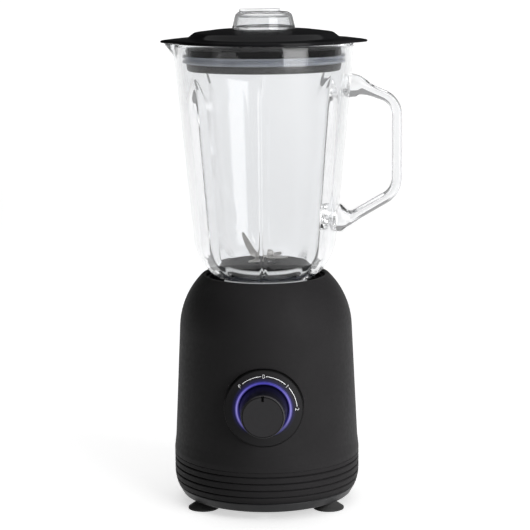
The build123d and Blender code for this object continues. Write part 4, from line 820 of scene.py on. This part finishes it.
class Mix:
    """A material in the making: its shader and small helpers that add node detail to it."""

    def __init__(self, name, **sockets):
        """New material with constants set straight on the shader's sockets."""
        self.material = bpy.data.materials.new(name)
        self.material.use_nodes = True
        self.nodes = self.material.node_tree.nodes
        self.links = self.material.node_tree.links
        self.shader = self.nodes["Principled BSDF"]
        for socket, value in sockets.items():
            self.shader.inputs[socket.replace("_", " ")].default_value = value
        self.coordinates = self.nodes.new("ShaderNodeTexCoord")
        FINISHES[name] = self.material

    def noise(self, grains, detail, finer=None, roughness=0.5):
        """Noise of a number of grains per metre, so many times finer along each of the axes."""
        where = self.coordinates.outputs["Object"]
        if finer:
            mapping = self.nodes.new("ShaderNodeMapping")
            mapping.vector_type = "TEXTURE"
            mapping.inputs["Scale"].default_value = [1.0 / times for times in finer]
            self.links.new(where, mapping.inputs["Vector"])
            where = mapping.outputs["Vector"]
        texture = self.nodes.new("ShaderNodeTexNoise")
        texture.inputs["Scale"].default_value = grains
        texture.inputs["Detail"].default_value = detail
        texture.inputs["Roughness"].default_value = roughness
        self.links.new(where, texture.inputs["Vector"])
        return texture.outputs["Fac"]

    def from_axis(self, axis, height):
        """Distance of the point from a line along an axis, at a height in millimetres."""
        flat = [1.0, 1.0, 1.0]
        flat["XYZ".index(axis)] = 0.0
        value = self.coordinates.outputs["Object"]
        for operation, other in (("SUBTRACT", (0.0, 0.0, height * MM)), ("MULTIPLY", flat)):
            step = self.nodes.new("ShaderNodeVectorMath")
            step.operation = operation
            step.inputs[1].default_value = other
            self.links.new(value, step.inputs[0])
            value = step.outputs["Vector"]
        length = self.nodes.new("ShaderNodeVectorMath")
        length.operation = "LENGTH"
        self.links.new(value, length.inputs[0])
        return length.outputs["Value"]

    def rings(self, distance, grains):
        """Noise that changes only with a distance, as turned or spun faces show."""
        texture = self.nodes.new("ShaderNodeTexNoise")
        texture.noise_dimensions = "1D"
        texture.inputs["Scale"].default_value = grains
        texture.inputs["Detail"].default_value = 3.0
        self.links.new(distance, texture.inputs["W"])
        return texture.outputs["Fac"]

    def spread(self, value, low, high):
        """Share from zero to one of a length between two lengths in millimetres."""
        share = self.nodes.new("ShaderNodeMapRange")
        share.inputs["From Min"].default_value = low * MM
        share.inputs["From Max"].default_value = high * MM
        self.links.new(value, share.inputs["Value"])
        return share.outputs["Result"]

    def height(self):
        """Height of the point in the part's own frame."""
        split = self.nodes.new("ShaderNodeSeparateXYZ")
        self.links.new(self.coordinates.outputs["Object"], split.inputs["Vector"])
        return split.outputs["Z"]

    def times(self, first, second):
        """Product of two values."""
        product = self.nodes.new("ShaderNodeMath")
        product.operation = "MULTIPLY"
        self.links.new(first, product.inputs[0])
        self.links.new(second, product.inputs[1])
        return product.outputs["Value"]

    def ramp(self, value, socket, low, high, start=0.3, end=0.7):
        """Leads a value to a shader socket through a ramp between two colours or levels."""
        ramp = self.nodes.new("ShaderNodeValToRGB")
        colors = [tone if hasattr(tone, "__len__") else (tone, tone, tone) for tone in (low, high)]
        for element, color, position in zip(ramp.color_ramp.elements, colors, (start, end)):
            element.position = position
            element.color = (*color, 1.0)
        self.links.new(value, ramp.inputs["Fac"])
        self.links.new(ramp.outputs["Color"], self.shader.inputs[socket])
        return ramp

    def stops(self, ramp, places):
        """Sets more colours along a ramp; a place at either end sets the end that is there."""
        elements = ramp.color_ramp.elements
        for position, color in places:
            ends = [element for element in elements if element.position == position]
            element = ends[0] if ends else elements.new(position)
            element.color = (*color, 1.0)

    def bands(self, value, places):
        """Colour that a value picks from a ramp of (place, colour) stops."""
        ramp = self.nodes.new("ShaderNodeValToRGB")
        self.stops(ramp, places)
        self.links.new(value, ramp.inputs["Fac"])
        return ramp.outputs["Color"]

    def bump(self, value, strength, depth):
        """Leads a value to the shader's normal as relief of a depth in millimetres."""
        bump = self.nodes.new("ShaderNodeBump")
        bump.inputs["Strength"].default_value = strength
        bump.inputs["Distance"].default_value = depth * MM
        self.links.new(value, bump.inputs["Height"])
        self.links.new(bump.outputs["Normal"], self.shader.inputs["Normal"])

    def grain(self, color, rough, relief=None):
        """Noise in the colour, the roughness and the relief of a plain surface.

        Each is (grains per metre, detail, low, high), and the relief ends with its strength and
        its depth in millimetres instead. A fifth value makes the grain finer along the axes.
        """
        for socket, (grains, detail, low, high, *finer) in (("Base Color", color), ("Roughness", rough)):
            self.ramp(self.noise(grains, detail, *finer), socket, low, high)
        if relief:
            grains, detail, strength, depth, *finer = relief
            self.bump(self.noise(grains, detail, *finer), strength, depth)


def near(color, share):
    """The same colour, lighter or darker by a share."""
    return tuple(min(1.0, part * share) for part in color)


def mix_blacks(colors):
    """Soft-touch coat, moulded blacks, the gloss of the lid and the switch body."""
    coat = tuple(colors.soft_black)
    soft = Mix("soft_black", Specular_IOR_Level=0.11, Sheen_Weight=0.015, Sheen_Roughness=0.5)
    soft.ramp(soft.noise(26.0, 4.0), "Base Color", near(coat, 0.9), near(coat, 1.1))
    # Base ring: its soft-touch colour darkens towards the ring's bottom, painted shade under the base.
    ring = Mix("ring_black_shaded_low", Specular_IOR_Level=0.11)
    ring.ramp(ring.spread(ring.height(), 10.0, 20.0), "Base Color", near(coat, 0.25), coat, 0.3, 0.8)
    for mix in (soft, ring):
        mix.ramp(mix.noise(320.0, 3.0), "Roughness", 0.54, 0.64)
        mix.bump(mix.noise(2600.0, 2.0, roughness=0.6), 0.22, 0.05)
    Mix("seat_black", Specular_IOR_Level=0.2).grain(
        (60.0, 3.0, (0.007, 0.007, 0.0075), (0.010, 0.010, 0.0105)),
        (400.0, 3.0, 0.34, 0.46),
        (1500.0, 2.0, 0.15, 0.04),
    )
    Mix("satin_black", Specular_IOR_Level=0.16).grain(
        (45.0, 3.0, near(colors.satin_black, 0.9), near(colors.satin_black, 1.1)),
        (700.0, 3.0, 0.36, 0.44),
        (2400.0, 2.0, 0.12, 0.03),
    )
    Mix("gloss_black", Specular_IOR_Level=0.0, Coat_Weight=0.2, Coat_Roughness=0.12).grain(
        (40.0, 3.0, near(colors.gloss_black, 0.85), near(colors.gloss_black, 1.15)),
        (160.0, 4.0, 0.14, 0.22),
        (55.0, 2.0, 0.05, 0.4),
    )
    Mix("switch_body").grain(
        (120.0, 3.0, (0.030, 0.028, 0.026), (0.045, 0.042, 0.040)),
        (500.0, 3.0, 0.40, 0.52),
        (1200.0, 2.0, 0.2, 0.05),
    )
    Mix("coupling_black").grain(
        (90.0, 3.0, (0.016, 0.016, 0.017), (0.028, 0.028, 0.030)),
        (420.0, 4.0, 0.42, 0.58),
        (900.0, 3.0, 0.25, 0.06),
    )


def mix_controls(colors, ink):
    """Knob, bezel, lit ring and the dial's print, with painted light and shade: a highlight and a dark line
    at the knob's edge, shade at the bezel's edge, a glow on the bezel from the ring, dimming along the ring,
    and dead matt black shade in the knob's notch.
    """
    knob = Mix("knob_black", Specular_IOR_Level=0.08)
    distance = knob.from_axis("Y", CONTROL_HEIGHT)
    face = near(colors.satin_black, 1.5)
    side = near(colors.satin_black, 0.15)
    rim = near(colors.satin_black, 2.2)
    # Knob colour by distance from its axis: the face, then a thin dark line of painted shade round the
    # face's edge, a light band of painted highlight on the edge's rounding, then the dark side.
    turned = knob.ramp(knob.spread(distance, 15.0, 17.5), "Base Color", face, side, 0.0, 1.0)
    knob.stops(turned, ((0.06, face), (0.14, side), (0.3, side), (0.42, rim), (0.66, rim), (0.76, side)))
    rings = knob.rings(distance, 1700.0)
    knob.ramp(rings, "Roughness", 0.26, 0.38)
    knob.bump(rings, 0.25, 0.03)

    bezel = Mix("bezel_black", Specular_IOR_Level=0.08, Emission_Strength=1.0)
    distance = bezel.from_axis("Y", CONTROL_HEIGHT)
    # Painted shade: the bezel's colour darkens to near black over its outer edge, where the gap round it
    # lies in shade.
    rim = bezel.spread(distance, BEZEL_RADIUS - 1.3, BEZEL_RADIUS - 0.4)
    bezel.ramp(rim, "Base Color", tuple(colors.satin_black), near(colors.satin_black, 0.1), 0.0, 1.0)
    # Painted light: the bezel glows faintly in the ring's blue near its hole, fading out towards its bottom,
    # as light spilled from the lit ring.
    inner = bezel.spread(distance, BEZEL_HOLE + 2.6, BEZEL_HOLE)
    painted_glow = bezel.times(inner, bezel.spread(bezel.height(), CONTROL_HEIGHT - 20.0, CONTROL_HEIGHT - 4.0))
    bezel.ramp(painted_glow, "Emission Color", BLACK, near(colors.light_edge, 0.45), 0.0, 1.0)
    bezel.ramp(bezel.noise(700.0, 3.0), "Roughness", 0.36, 0.44)
    bezel.bump(bezel.noise(2400.0, 2.0), 0.12, 0.03)

    light = Mix("light_ring", Emission_Strength=1.0, Specular_IOR_Level=0.1, Roughness=0.35)
    across = light.spread(light.from_axis("Y", CONTROL_HEIGHT), 19.6, 22.3)
    edge = tuple(colors.light_edge)
    core = tuple(colors.light_core)
    between = tuple(0.7 * outer + 0.3 * middle for outer, middle in zip(edge, core))
    glow = light.bands(across, ((0.0, edge), (0.26, between), (0.5, core), (0.74, between), (1.0, edge)))
    # Painted shade along the lit ring: its glow is dimmed by height towards the bottom and the top, where
    # the knob stands in front of it, and turns bluer at the top.
    lit = light.bands(
        light.spread(light.height(), CONTROL_HEIGHT - 21.0, CONTROL_HEIGHT + 21.0),
        (
            (0.0, (0.03, 0.03, 0.06)),
            (0.14, (0.2, 0.2, 0.3)),
            (0.32, (0.8, 0.8, 0.85)),
            (0.5, (1.0, 1.0, 1.0)),
            (0.76, (0.75, 0.72, 0.95)),
            (1.0, (0.12, 0.1, 0.6)),
        ),
    )
    shared = light.nodes.new("ShaderNodeMix")
    shared.data_type = "RGBA"
    shared.blend_type = "MULTIPLY"
    shared.inputs["Factor"].default_value = 1.0
    light.links.new(glow, shared.inputs[6])
    light.links.new(lit, shared.inputs[7])
    light.links.new(shared.outputs[2], light.shader.inputs["Emission Color"])
    light.ramp(light.noise(300.0, 2.0), "Base Color", (0.012, 0.012, 0.025), (0.02, 0.02, 0.04))
    light.bump(light.noise(1200.0, 2.0), 0.1, 0.03)

    Mix("dial_print", Specular_IOR_Level=0.3).grain(
        (900.0, 2.0, near(ink, 0.92), tuple(ink)),
        (1500.0, 2.0, 0.5, 0.62),
    )
    # Dead matt black: painted shade for the knob's notch.
    Mix("notch_shade_black", Specular_IOR_Level=0.0).grain(
        (900.0, 2.0, (0.0008, 0.0008, 0.0009), (0.0014, 0.0014, 0.0015)),
        (1500.0, 2.0, 0.85, 0.95),
    )


def mix_rubbers():
    """Foot rubber and the pale silicone of the seals."""
    Mix("foot_rubber", Specular_IOR_Level=0.3).grain(
        (110.0, 4.0, 0.012, 0.018),
        (600.0, 3.0, 0.62, 0.78),
        (1400.0, 3.0, 0.3, 0.06),
    )
    bleed = (0.004, 0.004, 0.005)
    Mix("seal_rubber", Specular_IOR_Level=0.4, Subsurface_Weight=0.25, Subsurface_Radius=bleed).grain(
        (70.0, 3.0, (0.46, 0.49, 0.55), (0.54, 0.57, 0.63)),
        (380.0, 3.0, 0.38, 0.5),
        (800.0, 2.0, 0.1, 0.05),
    )


def mix_carrier():
    """Black blade carrier with pale, faintly glowing bands round the side of its cup: painted light for
    light carried down through the glass bottom.
    """
    carrier = Mix("carrier_black", Specular_IOR_Level=0.05, Emission_Strength=0.5)
    distance = carrier.from_axis("Z", 0.0)
    # Pale, grey and bright bands by height on the cup's outer side, painted light that also glows by
    # emission.
    levels = (
        (0.0, 0.0),
        (0.1, 0.9),
        (0.68, 0.9),
        (0.72, 0.12),
        (0.86, 0.12),
        (0.89, 1.0),
        (0.95, 1.0),
        (1.0, 0.0),
    )
    places = [(place, (level, level, level)) for place, level in levels]
    painted_light_bands = carrier.bands(carrier.spread(carrier.height(), 170.0, 193.0), places)
    painted_glass_light = carrier.times(painted_light_bands, carrier.spread(distance, 31.6, 32.2))
    carrier.ramp(painted_glass_light, "Base Color", (0.014, 0.014, 0.015), (0.86, 0.87, 0.87), 0.0, 1.0)
    carrier.ramp(painted_glass_light, "Emission Color", BLACK, (0.9, 0.91, 0.91), 0.0, 1.0)
    rings = carrier.rings(distance, 1500.0)
    carrier.ramp(rings, "Roughness", 0.4, 0.55)
    carrier.bump(rings, 0.2, 0.04)


def mix_clears(colors):
    """Pressed jug glass and clear cap plastic."""
    Mix("clear_glass", Transmission_Weight=1.0, IOR=1.5).grain(
        (12.0, 2.0, near(colors.glass, 0.995), tuple(colors.glass)),
        (90.0, 3.0, 0.0, 0.012),
        (38.0, 2.0, 0.12, 0.35, (1.0, 1.0, 0.35)),
    )
    Mix("clear_plastic", Transmission_Weight=1.0, IOR=1.46).grain(
        (30.0, 2.0, (0.85, 0.856, 0.864), (0.87, 0.876, 0.884)),
        (140.0, 3.0, 0.01, 0.05),
        (60.0, 2.0, 0.08, 0.3),
    )


def mix_metals():
    """Steels, alloy, iron, copper, brass, carbon and the circuit board."""
    Mix("steel", Metallic=1.0).grain(
        (200.0, 4.0, (0.46, 0.46, 0.47), (0.58, 0.58, 0.60)),
        (700.0, 3.0, 0.22, 0.36),
        (1600.0, 2.0, 0.12, 0.02, (1.0, 1.0, 6.0)),
    )
    Mix("blade_steel", Metallic=0.7).grain(
        (150.0, 4.0, (0.68, 0.66, 0.63), (0.80, 0.78, 0.75)),
        (900.0, 3.0, 0.28, 0.42, (4.0, 0.6, 1.0)),
        (2200.0, 2.0, 0.15, 0.02, (4.0, 0.5, 1.0)),
    )
    Mix("bracket_alloy", Metallic=1.0).grain(
        (140.0, 4.0, (0.42, 0.42, 0.43), (0.56, 0.56, 0.57)),
        (500.0, 4.0, 0.42, 0.6),
        (1000.0, 4.0, 0.35, 0.08),
    )
    Mix("core_iron", Metallic=1.0).grain(
        (90.0, 3.0, (0.16, 0.15, 0.15), (0.24, 0.23, 0.22)),
        (600.0, 3.0, 0.4, 0.55),
        (2.0, 2.0, 0.5, 0.1, (1.0, 1.0, 900.0)),
    )
    Mix("copper", Metallic=1.0, Coat_Weight=0.4, Coat_Roughness=0.2).grain(
        (120.0, 3.0, (0.52, 0.20, 0.09), (0.68, 0.29, 0.14)),
        (500.0, 3.0, 0.25, 0.4),
        (2.0, 2.0, 0.6, 0.2, (1.0, 1.0, 700.0)),
    )
    Mix("brass", Metallic=1.0).grain(
        (150.0, 4.0, (0.55, 0.40, 0.17), (0.68, 0.51, 0.25)),
        (600.0, 3.0, 0.28, 0.42),
        (1400.0, 2.0, 0.15, 0.03),
    )
    Mix("carbon").grain(
        (300.0, 4.0, (0.012, 0.012, 0.013), (0.03, 0.03, 0.032)),
        (900.0, 3.0, 0.5, 0.7),
        (1600.0, 3.0, 0.3, 0.05),
    )
    board = Mix("circuit_board", Specular_IOR_Level=0.5)
    board.ramp(board.noise(260.0, 2.0), "Base Color", (0.008, 0.06, 0.022), (0.014, 0.10, 0.036), 0.45, 0.55)
    board.ramp(board.noise(500.0, 3.0), "Roughness", 0.3, 0.42)
    board.bump(board.noise(700.0, 2.0), 0.2, 0.04)


class COUNTERTOP_OT_finishes(bpy.types.Operator):
    """Mix every finish and give each CAD node its own or the one of its slot"""

    bl_idname = "countertop.finishes"
    bl_label = "Finishes"

    def execute(self, context):
        colors = context.scene.finish_colours
        mix_blacks(colors)
        mix_controls(colors, context.scene.dial_sizes.print_color)
        mix_rubbers()
        mix_carrier()
        mix_clears(colors)
        mix_metals()
        for row in frame["record"]["subparts"]:
            node = row["node"]
            material = finish(OWN_FINISH.get(node, row["material_slot"]))
            for slot in frame["nodes"][node].material_slots:
                slot.material = material
        return {"FINISHED"}


def floor_sheet():
    """Pale sheet that lies flat under the blender and rises behind it on a wide round bend."""
    half = 5200.0
    line = rounded_path(((-half, 0.0), (2000.0, 0.0, 700.0), (2350.0, 400.0)), 120.0)
    x, y = np.meshgrid(np.linspace(-half, half, 24), line[:, 0])
    z = np.broadcast_to(line[:, 1][:, None], x.shape)
    points = np.stack((x, y, z), axis=-1).reshape(-1, 3)
    mesh = bpy.data.meshes.new("floor_sheet")
    faces = quads(*x.shape, False, False)[:, ::-1]
    mesh.from_pydata((points * MM).tolist(), [], faces.tolist())
    mesh.shade_smooth()
    return mesh


def add_soft_light(name, place, target, width, height, watts):
    """Rectangular area light at a place, facing a target; gives back its object."""
    lamp = bpy.data.lights.new(name, "AREA")
    lamp.shape = "RECTANGLE"
    lamp.size = width
    lamp.size_y = height
    lamp.energy = watts
    holder = bpy.data.objects.new(name, lamp)
    holder.location = place
    holder.rotation_euler = (Vector(target) - Vector(place)).to_track_quat("-Z", "Y").to_euler()
    bpy.context.scene.collection.objects.link(holder)
    return holder


def make_sky(studio):
    """World with an even light that is stronger through glass and white straight behind the blender.

    Rays that have passed through glass take the glass's strength unless they last left a matt
    surface, and rays straight from the camera take full strength.
    """
    world = bpy.data.worlds.new("studio_sky")
    world.use_nodes = True
    nodes = world.node_tree.nodes
    links = world.node_tree.links
    path = nodes.new("ShaderNodeLightPath")
    in_glass = nodes.new("ShaderNodeMapRange")
    in_glass.inputs["To Min"].default_value = studio.sky_in_glass
    in_glass.inputs["To Max"].default_value = studio.sky
    links.new(path.outputs["Is Diffuse Ray"], in_glass.inputs["Value"])
    level = nodes.new("ShaderNodeMapRange")
    level.inputs["To Min"].default_value = studio.sky
    links.new(path.outputs["Transmission Depth"], level.inputs["Value"])
    links.new(in_glass.outputs["Result"], level.inputs["To Max"])
    seen = nodes.new("ShaderNodeMapRange")
    links.new(path.outputs["Is Camera Ray"], seen.inputs["Value"])
    links.new(level.outputs["Result"], seen.inputs["To Min"])
    backdrop = nodes["Background"]
    backdrop.inputs["Color"].default_value = WHITE
    links.new(seen.outputs["Result"], backdrop.inputs["Strength"])
    return world


def place_camera(studio):
    """Camera on a level circle round the drive axis, tilted down, then rolled about its line of sight."""
    side = studio.camera_side
    pitch = studio.camera_pitch
    roll = studio.camera_roll
    away = studio.camera_distance
    aim_trim = 0.00025
    yaw = side + aim_trim
    eye = Vector((math.sin(side) * away, -math.cos(side) * away, studio.camera_height))
    right = Vector((math.cos(yaw), math.sin(yaw), 0.0))
    level = Vector((-math.sin(yaw), math.cos(yaw), 0.0))
    ahead = level * math.cos(pitch) + Vector((0.0, 0.0, -1.0)) * math.sin(pitch)
    upward = right.cross(ahead)
    rolled_up = upward * math.cos(roll) + right * math.sin(roll)
    rolled_right = right * math.cos(roll) - upward * math.sin(roll)
    lens = bpy.data.cameras.new("photo_camera")
    lens.sensor_width = 36.0
    lens.lens = studio.lens
    lens.clip_start = 0.05
    lens.clip_end = 50.0
    camera = bpy.data.objects.new("photo_camera", lens)
    turned = Matrix((rolled_right, rolled_up, -ahead)).transposed().to_4x4()
    camera.matrix_world = Matrix.Translation(eye) @ turned
    bpy.context.scene.collection.objects.link(camera)
    bpy.context.scene.camera = camera


class COUNTERTOP_OT_studio(bpy.types.Operator):
    """Lay the floor and set up the soft lights, the sky and the camera"""

    bl_idname = "countertop.studio"
    bl_label = "Studio"

    def execute(self, context):
        scene = context.scene
        studio = scene.studio_settings
        paper = Mix("floor_paper", Roughness=0.9, Specular_IOR_Level=0.0, Emission_Color=WHITE)
        paper.shader.inputs["Emission Strength"].default_value = studio.floor_glow
        color = tuple(studio.floor_color)
        paper.ramp(paper.noise(3.0, 3.0), "Base Color", near(color, 0.995), color)
        mesh = floor_sheet()
        mesh.materials.append(paper.material)
        sheet = bpy.data.objects.new("floor_sheet", mesh)
        scene.collection.objects.link(sheet)
        middle = (0.0, 0.0, 0.18)
        add_soft_light("key_light", (1.2, -1.3, 0.75), middle, 1.1, 1.6, studio.key)
        wash = add_soft_light("wash_light", (1.5, -1.0, 0.8), middle, 1.1, 1.6, studio.wash)
        wash.visible_glossy = False
        wash.visible_transmission = False
        spared = bpy.data.collections.new("spared_from_wash")
        spared.objects.link(sheet)
        spared.collection_objects[0].light_linking.link_state = "EXCLUDE"
        wash.light_linking.receiver_collection = spared
        add_soft_light("fill_light", (-1.5, -0.9, 0.9), middle, 0.45, 1.9, studio.fill)
        add_soft_light("ceiling_light", (0.0, 0.3, 2.4), (0.0, 0.3, 0.0), 3.2, 4.0, studio.ceiling)
        scene.world = make_sky(studio)
        scene.view_settings.view_transform = "Standard"
        scene.cycles.max_bounces = 32
        scene.cycles.transmission_bounces = 32
        scene.cycles.glossy_bounces = 20
        place_camera(studio)
        return {"FINISHED"}


class COUNTERTOP_PT_panel(bpy.types.Panel):
    """Lists the steps that dress the blender and their sizes"""

    bl_idname = "COUNTERTOP_PT_panel"
    bl_label = "Countertop Blender"
    bl_space_type = "VIEW_3D"
    bl_region_type = "UI"
    bl_category = "Countertop"

    def draw(self, context):
        for step in STEPS:
            self.layout.operator(step.bl_idname)
        for name in GROUPS:
            box = self.layout.box()
            group = getattr(context.scene, name)
            box.label(text=group.bl_rna.name)
            for key in group.__annotations__:
                box.prop(group, key)


STEPS = (
    COUNTERTOP_OT_finishes,
    COUNTERTOP_OT_glass_jug,
    COUNTERTOP_OT_lid,
    COUNTERTOP_OT_blades,
    COUNTERTOP_OT_dial_marks,
    COUNTERTOP_OT_studio,
)
GROUPS = {
    "jug_sizes": JugSizes,
    "lid_sizes": LidSizes,
    "blade_sizes": BladeSizes,
    "dial_sizes": DialSizes,
    "finish_colours": FinishColours,
    "studio_settings": StudioSettings,
}


def register():
    """Registers the classes and hangs the settings on the scene."""
    for kind in (*GROUPS.values(), *STEPS, COUNTERTOP_PT_panel):
        bpy.utils.register_class(kind)
    for name, kind in GROUPS.items():
        setattr(bpy.types.Scene, name, PointerProperty(type=kind))


def unregister():
    """Takes the settings off the scene and removes the classes."""
    for name in GROUPS:
        delattr(bpy.types.Scene, name)
    for kind in (COUNTERTOP_PT_panel, *reversed(STEPS), *reversed(GROUPS.values())):
        bpy.utils.unregister_class(kind)


def main():
    """Dresses the frame step by step."""
    register()
    bpy.ops.countertop.finishes()
    bpy.ops.countertop.glass_jug()
    bpy.ops.countertop.lid()
    bpy.ops.countertop.blades()
    bpy.ops.countertop.dial_marks()
    bpy.ops.countertop.studio()


if __name__ == "__main__":
    main()
